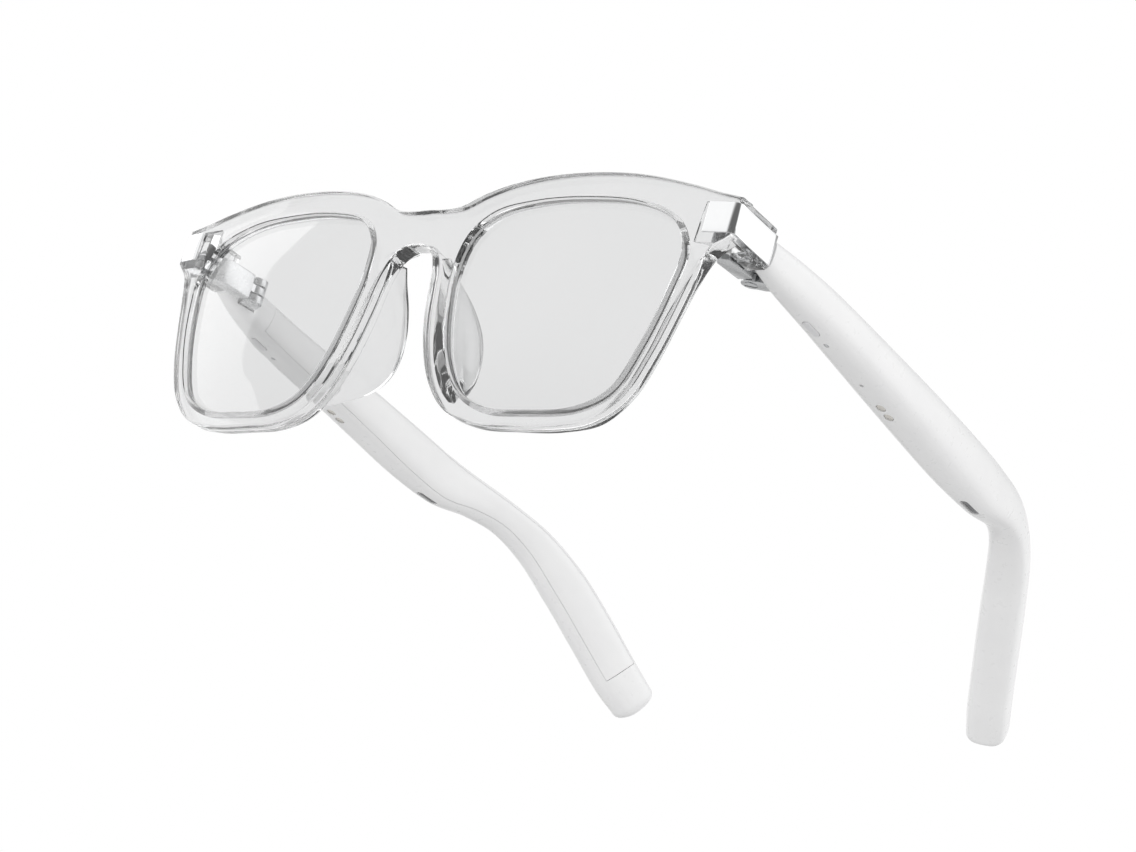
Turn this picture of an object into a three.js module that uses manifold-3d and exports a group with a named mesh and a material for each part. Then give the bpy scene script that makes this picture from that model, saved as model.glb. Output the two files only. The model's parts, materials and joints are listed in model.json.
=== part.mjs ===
// Smart glasses: a clear front with bonded nose pads, bright end plates and two white
// electronic temples that fold on three-knuckle hinges.
//
// Everything is modelled in millimetres in the front's own frame: +X is the wearer's left,
// +Y runs back along the temples and +Z is up in the plane of the front. One outer group then
// leans the front forward a little, so that the rims and the temple tips rest on z = 0.
// Each left piece is made once, and the right piece is its mirror image.

import * as THREE from 'three';
import { mergeVertices } from 'three/addons/utils/BufferGeometryUtils.js';
import Module from 'manifold-3d';

const wasm = await Module();
wasm.setup();

// ---------------------------------------------------------------- driving dimensions (mm)

const GAP = 0.3;                    // clearance between neighbouring pieces
const LEAN_DEG = 3.18;              // lean of the front when rims and tips stand on a table

// front
const FACE_WRAP = 4.4 / 70 ** 2;    // the face bends back 4.4 mm at 70 mm from the middle
const FACE_BOW = 1.04 / 20 ** 2;    // and 1 mm at 20 mm above and below the middle
const FRONT_DEPTH = 4.0;            // thickness of the clear front
const FRONT_BEVEL = 0.45;           // polished edge round the front face
const BACK_BEVEL = 0.9;             // softer edge on the wearer's side
const OPENING_BEVEL = 0.45;         // edge round each lens opening
const GROOVE_AT = 2.0;              // middle of the lens groove, behind the face
const GROOVE_DEPTH = 0.9;
const GROOVE_HALF_WIDTH = 1.3;
const LENS_MIDDLE = [36, -1];       // middle of the left lens, (x, z)
const LENS_EDGE_HALF = 0.8;         // half the thickness of a lens at its edge
const LENS_DOME = 1.6;              // how far the lens bows forward of its edge plane

// lens opening, (x, z), a closed smooth loop
const OPENING = [
  [11.7, 5.2], [12.9, 12.2], [17.4, 16.7], [25.8, 18.7], [36.9, 19.2], [50.0, 18.0],
  [58.6, 14.1], [61.9, 8.4], [61.2, 0.4], [58.4, -10.1], [54.4, -18.0], [47.8, -21.5],
  [37.2, -22.4], [27.3, -22.0], [20.6, -19.0], [15.9, -12.6], [12.9, -3.3],
];

// outline of the front, (x, z): from the nose arch round the rim to the end piece,
// then from the end piece along the brow to the bridge
const RIM_OUTLINE = [
  [0, 10.1], [2.7, 9.8], [4.8, 8.2], [6.2, 5.2], [6.9, 1.6], [7.8, -4.1], [9.6, -10.5],
  [12.9, -17.4],
  [18.0, -22.7], [25.3, -25.1], [34.2, -25.5], [43.9, -25.3], [52.3, -23.5], [57.8, -18.5],
  [61.0, -11.8], [63.4, -3.8], [65.3, 2.9], [67.3, 7.9], [70.9, 11.4],
];
const BROW_OUTLINE = [
  [70.9, 19.1], [65.7, 20.2], [60.0, 21.7], [48.3, 24.0], [37.1, 24.7], [26.3, 24.1],
  [18.4, 22.6], [12.7, 20.6], [8.2, 18.4], [4.0, 17.9], [0, 18.0],
];

// end piece, hinge and seam between front and temple
const SIDE_X = 70.9;                // outer side of the clear lug
const LUG_INNER_X = 66.6;
const LUG_BOTTOM = 11.0;
const LUG_TOP = 19.2;
const SEAM_Y = 17.0;                // back end of the lug
const SIDE_DROOP_DEG = 3.8;         // the lug and the temple run downwards to the back
const DROOP_FROM = [5.0, 9.0];      // the droop sets in between these depths
const DROOP_PIVOT_Z = 15.3;
const PLATE_THICK = 1.0;
const PLATE_PROUD = 0.5;            // how far the bright plate stands out of the clear front
const PLATE_Z = [11.8, 17.8];
const PLATE_FROM_X = 65.2;
const PLATE_FOLD_RADIUS = 1.8;
const HINGE = [64.2, 21.5];         // hinge axis, (x, y)
const HINGE_Z = [9.9, 15.1];        // bottom and top of the hinge barrel
const KNUCKLE_RADIUS = 1.9;
const KNUCKLE_HEIGHT = 1.5;
const SCREW_RADIUS = 0.6;
const SCREW_HOLE_RADIUS = 0.9;
const SCREW_HEAD_RADIUS = 1.25;

// temple: centre line (x, y, z) with the width across and the height, front to tip
const TEMPLE = [
  { at: [69.05, 16.4, 13.75], width: 4.4, height: 5.8 },
  { at: [70.3, 24, 11.95], width: 5.9, height: 7.6 },
  { at: [71.3, 32, 10.4], width: 7.2, height: 8.3 },
  { at: [71.65, 42, 8.75], width: 8.2, height: 8.8 },
  { at: [71.6, 54, 7], width: 8.9, height: 9.5 },
  { at: [71.55, 68, 4.95], width: 9.1, height: 10.5 },
  { at: [71.5, 82, 2.85], width: 8.6, height: 11.3 },
  { at: [71.2, 94, 1.5], width: 7.4, height: 11 },
  { at: [69.75, 104, 1.3], width: 6.8, height: 8.6 },
  { at: [66.9, 112, -0.1], width: 7.3, height: 7.6 },
  { at: [63, 120, -3.7], width: 8.3, height: 8.8 },
  { at: [58.55, 128, -10], width: 8.8, height: 10.4 },
  { at: [54.15, 136, -17.7], width: 8.8, height: 10.7 },
  { at: [49.85, 144, -25.7], width: 8.7, height: 10.5 },
  { at: [47.9, 147.9, -28.9], width: 8.4, height: 9.8 },
];
const SECTION_POWER = 3.0;          // superellipse power of the temple section
const TIP_ROUND = 3.2;              // length over which the tip closes to a round end
const WALL = 1.3;
const COVER_THICK = 1.2;
const COVER_MARGIN = 1.3;           // from the cover's edge to the temple's edge
const COVER_SPAN = [30.2, 143];       // the inner cover, from and to this depth
const CAVITY_SPAN = [30.7, 100];      // the hollow for the electronics

// features on the underside of the temple, by depth
const BUTTON_Y = 33.0;
const LIGHT_Y = 38.0;
const MICROPHONE_Y = 50.5;
const CONTACT_Y = [57.8, 60.8];
const SPEAKER_Y = 91.9;

// ---------------------------------------------------------------- finishes

const finish = (colour, roughness, metalness, opacity = 1) => new THREE.MeshStandardMaterial({
  color: colour, roughness, metalness, opacity, transparent: opacity < 1,
});
const CLEAR = finish(0xf2f4f5, 0.05, 0, 0.3);
const TINTED = finish(0xd9dbdc, 0.03, 0, 0.4);
const CHROME = finish(0xe6e7e8, 0.08, 1);
const STEEL = finish(0xb4b6b8, 0.3, 1);
const WHITE = finish(0xf3f3f2, 0.32, 0);
const GREY = finish(0xcfd0d1, 0.45, 0);
const FOIL = finish(0x9ea3a8, 0.4, 0.3);
const BOARD = finish(0x1d5c3a, 0.5, 0);
const BLACK = finish(0x1b1c1e, 0.5, 0);
const GOLD = finish(0xc9a253, 0.25, 1);
const COPPER = finish(0xb87444, 0.35, 0.9);

// ---------------------------------------------------------------- solids

/** A closed solid from points and triangles, with its faces turned outwards. */
function solid(points, triangles) {
  let volume = 0;
  for (const [a, b, c] of triangles) {
    volume += points[a].dot(new THREE.Vector3().crossVectors(points[b], points[c]));
  }
  const order = volume < 0 ? ([a, b, c]) => [a, c, b] : (t) => t;
  const geometry = new THREE.BufferGeometry();
  const position = points.flatMap((p) => p.toArray());
  geometry.setAttribute('position', new THREE.Float32BufferAttribute(position, 3));
  geometry.setIndex(triangles.flatMap(order));
  return geometry;
}

/** Only positions, with shared corners merged, which is what a boolean needs. */
function welded(geometry) {
  const bare = geometry.clone();
  bare.deleteAttribute('normal');
  bare.deleteAttribute('uv');
  return mergeVertices(bare, 1e-4);
}

function toManifold(geometry) {
  const bare = welded(geometry);
  return new wasm.Manifold(new wasm.Mesh({
    numProp: 3,
    vertProperties: new Float32Array(bare.attributes.position.array),
    triVerts: new Uint32Array(bare.index.array),
  }));
}

function fromManifold(manifold) {
  const mesh = manifold.getMesh();
  const geometry = new THREE.BufferGeometry();
  geometry.setAttribute('position', new THREE.BufferAttribute(mesh.vertProperties, 3));
  geometry.setIndex(new THREE.BufferAttribute(mesh.triVerts, 1));
  return geometry;
}

/** The first solid joined with the others. */
function join(first, ...others) {
  return fromManifold(others.reduce((sum, g) => sum.add(toManifold(g)), toManifold(first)));
}

/** The first solid with the others cut away. */
function cut(first, ...others) {
  return fromManifold(others.reduce((rest, g) => rest.subtract(toManifold(g)), toManifold(first)));
}

/** What two solids have in common. */
function common(first, second) {
  return fromManifold(toManifold(first).intersect(toManifold(second)));
}

/** A solid through closed sections with equal numbers of points, its ends closed by fans. */
function loft(sections) {
  const count = sections[0].length;
  const points = sections.flat();
  const triangles = [];
  for (let s = 0; s < sections.length - 1; s += 1) {
    for (let k = 0; k < count; k += 1) {
      const a = s * count + k;
      const b = s * count + ((k + 1) % count);
      triangles.push([a, b, b + count], [a, b + count, a + count]);
    }
  }
  for (const [first, flip] of [[0, true], [(sections.length - 1) * count, false]]) {
    const middle = new THREE.Vector3();
    for (let k = 0; k < count; k += 1) middle.addScaledVector(points[first + k], 1 / count);
    points.push(middle);
    for (let k = 0; k < count; k += 1) {
      const edge = [first + k, first + ((k + 1) % count)];
      triangles.push([points.length - 1, ...(flip ? edge.reverse() : edge)]);
    }
  }
  return solid(points, triangles);
}

/** An outline in (x, y) raised from z = low to z = high. */
function prism(outline, low, high) {
  const shape = outline instanceof THREE.Shape
    ? outline
    : new THREE.Shape(outline.map(([x, y]) => new THREE.Vector2(x, y)));
  const depth = high - low;
  return new THREE.ExtrudeGeometry(shape, { depth, bevelEnabled: false, curveSegments: 6 })
    .translate(0, 0, low);
}

/** An upright cylinder from z = low to z = high. */
function post([x, y], radius, low, high, sides = 20) {
  return new THREE.CylinderGeometry(radius, radius, high - low, sides)
    .rotateX(Math.PI / 2)
    .translate(x, y, (low + high) / 2);
}

/** A box by its sizes along x, y and z, with its corners along y cut off. */
function bar(width, length, height, corner = 0.4) {
  const w = width / 2;
  const h = height / 2;
  const outline = [
    [w - corner, -h], [w, -h + corner], [w, h - corner], [w - corner, h],
    [-w + corner, h], [-w, h - corner], [-w, -h + corner], [-w + corner, -h],
  ];
  return prism(outline, -length / 2, length / 2).rotateX(Math.PI / 2);
}

/** An upright slot shape, longer along y, with round ends, centred on the origin. */
function slot(length, width) {
  const radius = width / 2;
  const reach = length / 2 - radius;
  const shape = new THREE.Shape();
  shape.absarc(0, reach, radius, 0, Math.PI);
  shape.absarc(0, -reach, radius, Math.PI, 2 * Math.PI);
  return shape;
}

/** The mirror image on the other side of x = 0. */
function mirrored(geometry) {
  const other = welded(geometry).scale(-1, 1, 1);
  const index = other.index.array;
  for (let k = 0; k < index.length; k += 3) {
    const last = index[k + 2];
    index[k + 2] = index[k + 1];
    index[k + 1] = last;
  }
  return other;
}

// ---------------------------------------------------------------- the front

/** Depth of the front's face at (x, z). */
const faceY = (x, z) => FACE_WRAP * x * x + FACE_BOW * z * z;

/** The point at (x, z), a given depth behind the face. */
const behindFace = ([x, z], depth) => new THREE.Vector3(x, faceY(x, z) + depth, z);

/** A smooth line through (x, z) points, as closely spaced points. */
function smooth(points, closed, perSpan = 14) {
  const knots = points.map(([x, z]) => new THREE.Vector3(x, z, 0));
  const curve = new THREE.CatmullRomCurve3(knots, closed, 'centripetal');
  const spans = closed ? points.length : points.length - 1;
  return curve.getPoints(spans * perSpan).map((p) => [p.x, p.y]);
}

/** The same, for a line that starts on the middle plane and crosses it at a right angle. */
function smoothFromMiddle(points, perSpan = 14) {
  const [x, z] = points[1];
  return smooth([[-x, z], ...points], false, perSpan).slice(perSpan);
}

const openingLine = smooth(OPENING, true);
const rimLine = smoothFromMiddle(RIM_OUTLINE);
const browLine = smoothFromMiddle(BROW_OUTLINE.toReversed()).toReversed();
const outerLine = [...rimLine, ...browLine, rimLine[0]];

/** The nose arch ends at this point of the rim's line. */
const ARCH_END = 4 * 14;

const angleOf = ([x, z]) => Math.atan2(z - LENS_MIDDLE[1], x - LENS_MIDDLE[0]);

/** Where the ray from the lens middle at an angle crosses a line, with the line's direction. */
function crossing(line, angle) {
  const ray = [Math.cos(angle), Math.sin(angle)];
  let best = null;
  for (let k = 0; k < line.length - 1; k += 1) {
    const p = [line[k][0] - LENS_MIDDLE[0], line[k][1] - LENS_MIDDLE[1]];
    const d = [line[k + 1][0] - line[k][0], line[k + 1][1] - line[k][1]];
    const cross = ray[0] * d[1] - ray[1] * d[0];
    if (Math.abs(cross) < 1e-9) continue;
    const along = (p[0] * ray[1] - p[1] * ray[0]) / cross;
    const radius = (p[0] * d[1] - p[1] * d[0]) / cross;
    const inside = along > -1e-6 && along < 1 + 1e-6 && radius > 0;
    if (inside && (!best || radius > best.radius)) best = { radius, d };
  }
  return best;
}

/** The (x, z) point at a radius and angle from the lens middle. */
const fromMiddle = (radius, angle) => [
  LENS_MIDDLE[0] + radius * Math.cos(angle),
  LENS_MIDDLE[1] + radius * Math.sin(angle),
];

/** Angles round the lens: every corner of the outline, and even steps between them. */
function ringAngles() {
  const corners = [
    rimLine.at(-1), browLine[0], browLine.at(-1), rimLine[0], rimLine[ARCH_END],
  ].map(angleOf);
  const steps = [4, 22, 3, 10, 36];
  const angles = [];
  corners.forEach((from, k) => {
    const to = k === 4 ? corners[0] + 2 * Math.PI : corners[k + 1];
    for (let s = 0; s < steps[k]; s += 1) {
      const angle = from + ((to - from) * s) / steps[k];
      const arch = k === 3 ? s / steps[k] : null;
      angles.push({ angle, bridge: k === 2, arch, corner: s === 0 ? k : null });
    }
  });
  return angles;
}

/** The point and the inward direction at a share of the nose arch. */
function archAt(share) {
  const k = Math.round(share * ARCH_END);
  const d = [rimLine[k + 1][0] - rimLine[k - 1][0], rimLine[k + 1][1] - rimLine[k - 1][1]];
  const length = Math.hypot(...d);
  return { point: rimLine[k], inward: [-d[1] / length, d[0] / length] };
}

/** The outline's point and its inward direction at one angle. */
function outlineAt({ angle, bridge, arch, corner }) {
  if (corner === 2) return { point: [0, BROW_OUTLINE.at(-1)[1]], inward: [0, -1] };
  if (corner === 3) return { point: [0, RIM_OUTLINE[0][1]], inward: [0, 1] };
  if (arch) return archAt(arch);
  const { radius, d } = crossing(outerLine, angle);
  const point = fromMiddle(radius, angle);
  if (bridge) return { point: [0, point[1]], inward: [0, 0] };
  if (corner === 0) return { point, inward: [-0.7, 0.7] };
  if (corner === 1) return { point, inward: [-0.7, -0.7] };
  const length = Math.hypot(d[0], d[1]);
  const inward = [-d[1] / length, d[0] / length];
  const towards = (LENS_MIDDLE[0] - point[0]) * inward[0] + (LENS_MIDDLE[1] - point[1]) * inward[1];
  return { point, inward: towards > 0 ? inward : [-inward[0], -inward[1]] };
}

/** One section of the rim: ten points round the material, starting inside on the face. */
function rimSection(station) {
  const { point, inward } = outlineAt(station);
  const { radius } = crossing([...openingLine, openingLine[0]], station.angle);
  const inner = (out, depth) => behindFace(fromMiddle(radius + out, station.angle), depth);
  const outer = (bevel, depth) => behindFace(
    [point[0] + inward[0] * bevel, point[1] + inward[1] * bevel],
    depth,
  );
  return [
    inner(OPENING_BEVEL, 0),
    outer(FRONT_BEVEL, 0),
    outer(0, FRONT_BEVEL),
    outer(0, FRONT_DEPTH - BACK_BEVEL),
    outer(BACK_BEVEL, FRONT_DEPTH),
    inner(OPENING_BEVEL, FRONT_DEPTH),
    inner(0, FRONT_DEPTH - OPENING_BEVEL),
    inner(0, GROOVE_AT + GROOVE_HALF_WIDTH),
    inner(GROOVE_DEPTH, GROOVE_AT),
    inner(0, GROOVE_AT - GROOVE_HALF_WIDTH),
  ];
}

/** Both rims and the bridge: the left half, and its mirror image sharing the middle plane. */
function rims() {
  const stations = ringAngles();
  const half = stations.map(rimSection);
  const rows = half[0].length;
  const points = half.flat();
  const triangles = [];
  half.forEach((_, s) => {
    const next = (s + 1) % half.length;
    for (let r = 0; r < rows; r += 1) {
      const outerWall = r >= 1 && r <= 3;
      if (stations[s].bridge && outerWall) continue;
      const [a, b] = [s * rows + r, s * rows + ((r + 1) % rows)];
      const [c, d] = [next * rows + ((r + 1) % rows), next * rows + r];
      triangles.push([a, b, c], [a, c, d]);
    }
  });
  const all = [...points, ...points.map((p) => new THREE.Vector3(-p.x, p.y, p.z))];
  const mirror = triangles.map(([a, b, c]) => [a, c, b].map((k) => k + points.length));
  return welded(solid(all, [...triangles, ...mirror]));
}

/** Bends the end piece downwards towards the back, as the temple runs. */
function drooped(geometry) {
  const position = geometry.attributes.position;
  const [from, to] = DROOP_FROM;
  for (let k = 0; k < position.count; k += 1) {
    const y = position.getY(k);
    const angle = THREE.MathUtils.degToRad(SIDE_DROOP_DEG) * THREE.MathUtils.smoothstep(y, from, to);
    const dy = y - from;
    const dz = position.getZ(k) - DROOP_PIVOT_Z;
    position.setY(k, from + dy * Math.cos(angle) + dz * Math.sin(angle));
    position.setZ(k, DROOP_PIVOT_Z - dy * Math.sin(angle) + dz * Math.cos(angle));
  }
  return geometry;
}

/** The clear lug behind the front's upper corner, which carries the hinge. */
function lug() {
  const face = faceY(SIDE_X, 15);
  const outline = [
    [62.0, face], [SIDE_X - 0.6, face + 0.6], [SIDE_X, face + 1.4], [SIDE_X, 8.6], [SIDE_X, 11.2],
    [SIDE_X, 13.6], [SIDE_X, SEAM_Y - 0.4], [SIDE_X - 0.4, SEAM_Y], [LUG_INNER_X, SEAM_Y],
    [LUG_INNER_X, 13.6], [LUG_INNER_X, 11.6], [LUG_INNER_X - 1.2, 9.9], [62.0, 8.6],
  ];
  return drooped(prism(outline, LUG_BOTTOM, LUG_TOP));
}

/** The plan of the bright end plate, grown by a clearance, as an L round the corner. */
function platePlan(grow = 0) {
  const outside = SIDE_X + PLATE_PROUD;
  const frontY = (x) => faceY(x, 15) - PLATE_PROUD;
  const slope = (frontY(outside) - frontY(PLATE_FROM_X)) / (outside - PLATE_FROM_X);
  const turn = Math.PI / 2 - Math.atan(slope);
  const r = PLATE_FOLD_RADIUS;
  const corner = [outside - r, frontY(outside) + r];
  const arc = (radius) => [0, 0.25, 0.5, 0.75, 1].map((f) => {
    const angle = -turn * (1 - f) - 0.02 * (1 - f);
    return [corner[0] + radius * Math.cos(angle), corner[1] + radius * Math.sin(angle)];
  });
  const outer = r + grow;
  const inner = Math.max(r - PLATE_THICK - grow, 0.05);
  const back = SEAM_Y - 0.1 + grow;
  const depth = PLATE_THICK + grow;
  const start = PLATE_FROM_X - grow;
  return [
    [start, frontY(PLATE_FROM_X) - grow], ...arc(outer),
    [outside + grow, 8.6], [outside + grow, 11.2], [outside + grow, 13.6], [outside + grow, back],
    [outside - depth, back], [outside - depth, 13.6], [outside - depth, 11.2],
    [outside - depth, 8.6], ...arc(inner).reverse(),
    [start, frontY(PLATE_FROM_X) + depth],
  ];
}

const endPlate = () => drooped(prism(platePlan(), ...PLATE_Z));
const endPlateSpace = () => drooped(prism(platePlan(GAP), PLATE_Z[0] - GAP, PLATE_Z[1] + GAP));

/** The lens: a domed plate with a bevelled edge that sits in the rim's groove. */
function lens() {
  const steps = 40;
  const angles = Array.from({ length: steps }, (_, k) => (2 * Math.PI * k) / steps);
  const edge = [...openingLine, openingLine[0]];
  const radii = angles.map((angle) => crossing(edge, angle).radius);
  const dome = (share) => -LENS_DOME * (1 - share * share);
  const ring = (share, out, depth) => angles.map((angle, k) => {
    const flat = fromMiddle((radii[k] + out) * share, angle);
    return behindFace(flat, GROOVE_AT + depth + dome(share) + 1e-3 * share);
  });
  const bevel = GROOVE_DEPTH - 0.4;
  const shares = [0.3, 0.7];
  return loft([
    ...shares.map((share) => ring(share, -GAP, -LENS_EDGE_HALF)),
    ring(1, -GAP, -LENS_EDGE_HALF),
    ring(1, bevel, 0),
    ring(1, -GAP, LENS_EDGE_HALF),
    ...shares.toReversed().map((share) => ring(share, -GAP, LENS_EDGE_HALF)),
  ]);
}

// nose pad, top to bottom: its back edge (x, y) at height z, where its root starts and ends
// across the rim, and how thick it is
const PAD = [
  { z: 5.6, edge: [7.9, 7.6], root: [7, 9.6], thick: 1.5 },
  { z: 2, edge: [9.7, 11.2], root: [7.8, 10.5], thick: 2 },
  { z: -2.6, edge: [11.4, 14], root: [8.6, 11.5], thick: 2.6 },
  { z: -7.2, edge: [12.4, 14.9], root: [9.6, 12.6], thick: 2.9 },
  { z: -11.6, edge: [13.3, 14.2], root: [11, 14], thick: 2.9 },
  { z: -15.4, edge: [14.8, 11.8], root: [12.9, 15.8], thick: 2.6 },
  { z: -18.4, edge: [16.9, 8.4], root: [15, 17.9], thick: 2 },
  { z: -20.4, edge: [18.8, 5.9], root: [17.1, 19.7], thick: 1.4 },
];
const PAD_SECTIONS = 15;
const PAD_POINTS = 11;

/** One level section of the nose pad: a smooth fin on a straight root. */
function padSection(z, [x, y], [near, far], thick) {
  const base = FRONT_DEPTH + GAP;
  const nearY = faceY(near, z) + base;
  const farY = faceY(far, z) + base;
  const fin = new THREE.CatmullRomCurve3([
    [near, nearY], [near + 0.3 * (x - thick - near), nearY + 0.5 * (y - nearY)],
    [x - thick, y - 0.25 * thick], [x - 0.45 * thick, y], [x, y - 0.3 * thick],
    [far + 0.2 * (x - far), farY + 0.45 * (y - farY)], [far, farY],
  ].map((p) => new THREE.Vector3(...p, z)), false, 'centripetal');
  return fin.getSpacedPoints(PAD_POINTS - 1);
}

/** The clear nose pad: a fin that flares back and outwards from the nose side of the rim. */
function nosePad() {
  const track = (read) => new THREE.CatmullRomCurve3(
    PAD.map((station) => new THREE.Vector3(...read(station))),
    false,
    'catmullrom',
  );
  const edges = track(({ edge, z }) => [...edge, z]);
  const roots = track(({ root, thick }) => [...root, thick]);
  return loft(Array.from({ length: PAD_SECTIONS }, (_, k) => {
    const share = k / (PAD_SECTIONS - 1);
    const edge = edges.getPoint(share);
    const root = roots.getPoint(share);
    return padSection(edge.z, [edge.x, edge.y], [root.x, root.y], root.z);
  }));
}

// ---------------------------------------------------------------- the hinge

const knuckleTop = HINGE_Z[1];
const knuckleBottom = HINGE_Z[0];
const LEAF_X = [62.9, LUG_INNER_X - GAP];
const LEAF_Y = [10.6, 19.2];

/** The leaf fixed to the lug: a satin block whose middle knuckle turns on the screw. */
function frontLeaf() {
  const middle = [knuckleBottom + KNUCKLE_HEIGHT + GAP, knuckleTop - KNUCKLE_HEIGHT - GAP];
  const block = prism([
    [LEAF_X[0] + 1.2, LEAF_Y[0]], [LEAF_X[1], LEAF_Y[0] + 1.2], [LEAF_X[1], LEAF_Y[1]],
    [LEAF_X[0], LEAF_Y[1]], [LEAF_X[0], LEAF_Y[0] + 2.0],
  ], knuckleBottom, knuckleTop);
  const neck = prism([
    [HINGE[0] - 1.2, LEAF_Y[1] - 1], [HINGE[0] + 1.2, LEAF_Y[1] - 1],
    [HINGE[0] + 1.2, HINGE[1]], [HINGE[0] - 1.2, HINGE[1]],
  ], ...middle);
  const knuckle = post(HINGE, KNUCKLE_RADIUS, ...middle);
  const hole = post(HINGE, SCREW_HOLE_RADIUS, middle[0] - 1, middle[1] + 1, 12);
  return cut(join(block, neck, knuckle), hole);
}

const TEMPLE_LEAF_Y = [23.7, 29.2];
const TEMPLE_LEAF_Z = [11.0, 14.0];

/** The leaf fixed in the temple: an upper and a lower knuckle on an arm into the shell. */
function templeLeaf() {
  const arm = prism([
    [HINGE[0], HINGE[1] - 1.2], [HINGE[0] + 2.2, HINGE[1] - 1.0], [69.6, TEMPLE_LEAF_Y[0] - 1.4],
    [69.6, TEMPLE_LEAF_Y[0] + 1.4], [HINGE[0] + 1.4, TEMPLE_LEAF_Y[0] + 0.6],
    [HINGE[0], HINGE[1] + 1.9],
  ], knuckleBottom, knuckleTop);
  const between = post(
    HINGE,
    KNUCKLE_RADIUS + GAP + 0.2,
    knuckleBottom + KNUCKLE_HEIGHT,
    knuckleTop - KNUCKLE_HEIGHT,
  );
  const tongue = prism([
    [68.4, TEMPLE_LEAF_Y[0] - 1], [69.6, TEMPLE_LEAF_Y[0] - 1],
    [70.3, TEMPLE_LEAF_Y[1]], [69.1, TEMPLE_LEAF_Y[1]],
  ], ...TEMPLE_LEAF_Z);
  const lower = post(HINGE, KNUCKLE_RADIUS, knuckleBottom, knuckleBottom + KNUCKLE_HEIGHT);
  const upper = post(HINGE, KNUCKLE_RADIUS, knuckleTop - KNUCKLE_HEIGHT, knuckleTop);
  const hole = post(HINGE, SCREW_HOLE_RADIUS, knuckleBottom - 1, knuckleTop + 1, 12);
  return cut(join(cut(join(arm, lower, upper), between), tongue), hole);
}

/** The hinge screw, its slotted head under the barrel. */
function hingeScrew() {
  const headBottom = knuckleBottom - GAP - 0.6;
  const head = post(HINGE, SCREW_HEAD_RADIUS, headBottom, knuckleBottom - GAP, 16);
  const shank = post(HINGE, SCREW_RADIUS, headBottom, knuckleTop - 0.2, 12);
  const drive = new THREE.BoxGeometry(2 * SCREW_HEAD_RADIUS + 1, 0.4, 0.5)
    .translate(HINGE[0], HINGE[1], headBottom);
  return cut(join(head, shank), drive);
}

const RIVET_Z = [11.3, 14.2];

/** A rivet that holds the hinge leaf: a round head on the leaf, and its shank in the lug. */
function leafRivet(index) {
  const x = LUG_INNER_X + GAP;
  return new THREE.CylinderGeometry(0.75, 0.75, 2.6, 14)
    .rotateZ(Math.PI / 2)
    .translate(x + 1.3, 13.4, RIVET_Z[index]);
}

const rivetSpace = (index) => new THREE.CylinderGeometry(0.75 + GAP, 0.75 + GAP, 3.4, 12)
  .rotateZ(Math.PI / 2)
  .translate(LUG_INNER_X + 1.5, 13.4, RIVET_Z[index]);

/** The whole clear front, with room for the end plates and the rivets. */
function frontFrame() {
  const spaces = [endPlateSpace(), rivetSpace(0), rivetSpace(1)];
  const lugs = [lug(), mirrored(lug())];
  return cut(join(rims(), ...lugs), ...spaces, ...spaces.map(mirrored));
}

// ---------------------------------------------------------------- the temple

const templeLine = new THREE.CatmullRomCurve3(
  TEMPLE.map(({ at }) => new THREE.Vector3(...at)),
  false,
  'centripetal',
);
const templeSize = new THREE.CatmullRomCurve3(
  TEMPLE.map(({ width, height }) => new THREE.Vector3(width, height, 0)),
  false,
  'centripetal',
);

/** The curve parameter at a depth y. */
function parameterAt(y) {
  let [low, high] = [0, 1];
  for (let k = 0; k < 30; k += 1) {
    const middle = (low + high) / 2;
    if (templeLine.getPoint(middle).y < y) low = middle;
    else high = middle;
  }
  return (low + high) / 2;
}

/** The temple's place at a parameter: centre, outward, along and up directions, half sizes. */
function templeAt(t) {
  const centre = templeLine.getPoint(t);
  const along = templeLine.getTangent(t);
  const outward = new THREE.Vector3().crossVectors(along, new THREE.Vector3(0, 0, 1)).normalize();
  const up = new THREE.Vector3().crossVectors(outward, along).normalize();
  const size = templeSize.getPoint(t);
  return { centre, along, outward, up, halfWidth: size.x / 2, halfHeight: size.y / 2 };
}

/** The point u outward and v up from the temple's centre line, s further along. */
function inTemple(place, u, v, s = 0) {
  return place.centre.clone()
    .addScaledVector(place.outward, u)
    .addScaledVector(place.up, v)
    .addScaledVector(place.along, s);
}

/** A superellipse section of the temple, scaled, s further along. */
function templeSection(place, scale = 1, s = 0, sides = 16) {
  return Array.from({ length: sides }, (_, k) => {
    const angle = (2 * Math.PI * (k + 0.5)) / sides;
    const [c, d] = [Math.cos(angle), Math.sin(angle)];
    const reach = (value) => Math.sign(value) * Math.abs(value) ** (2 / SECTION_POWER);
    const [u, v] = [place.halfWidth * reach(c) * scale, place.halfHeight * reach(d) * scale];
    return inTemple(place, u, v, s);
  });
}

/** The temple's outer form, from just before the seam to its round tip. */
function templeBody(steps = 28) {
  const first = templeAt(0);
  const last = templeAt(1);
  const sections = [templeSection(first)];
  for (let k = 1; k <= steps; k += 1) sections.push(templeSection(templeAt(k / steps)));
  for (const share of [0.45, 0.8, 0.97]) {
    sections.push(templeSection(last, Math.sqrt(1 - share ** 3), TIP_ROUND * share));
  }
  return loft(sections);
}

/** A band along the temple with a rectangular section given by a function of its place. */
function templeBand([fromY, toY], steps, edges) {
  const [from, to] = [parameterAt(fromY), parameterAt(toY)];
  const sections = [];
  for (let k = 0; k <= steps; k += 1) {
    const place = templeAt(from + ((to - from) * k) / steps);
    const [inner, outer, low, high] = edges(place);
    sections.push([
      inTemple(place, inner, low), inTemple(place, outer, low),
      inTemple(place, outer, high), inTemple(place, inner, high),
    ]);
  }
  return loft(sections);
}

const cavity = () => templeBand(CAVITY_SPAN, 12, ({ halfWidth, halfHeight }) => [
  -halfWidth - 1, halfWidth - WALL, -halfHeight + WALL + 0.2, halfHeight - WALL - 0.2,
]);

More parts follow.
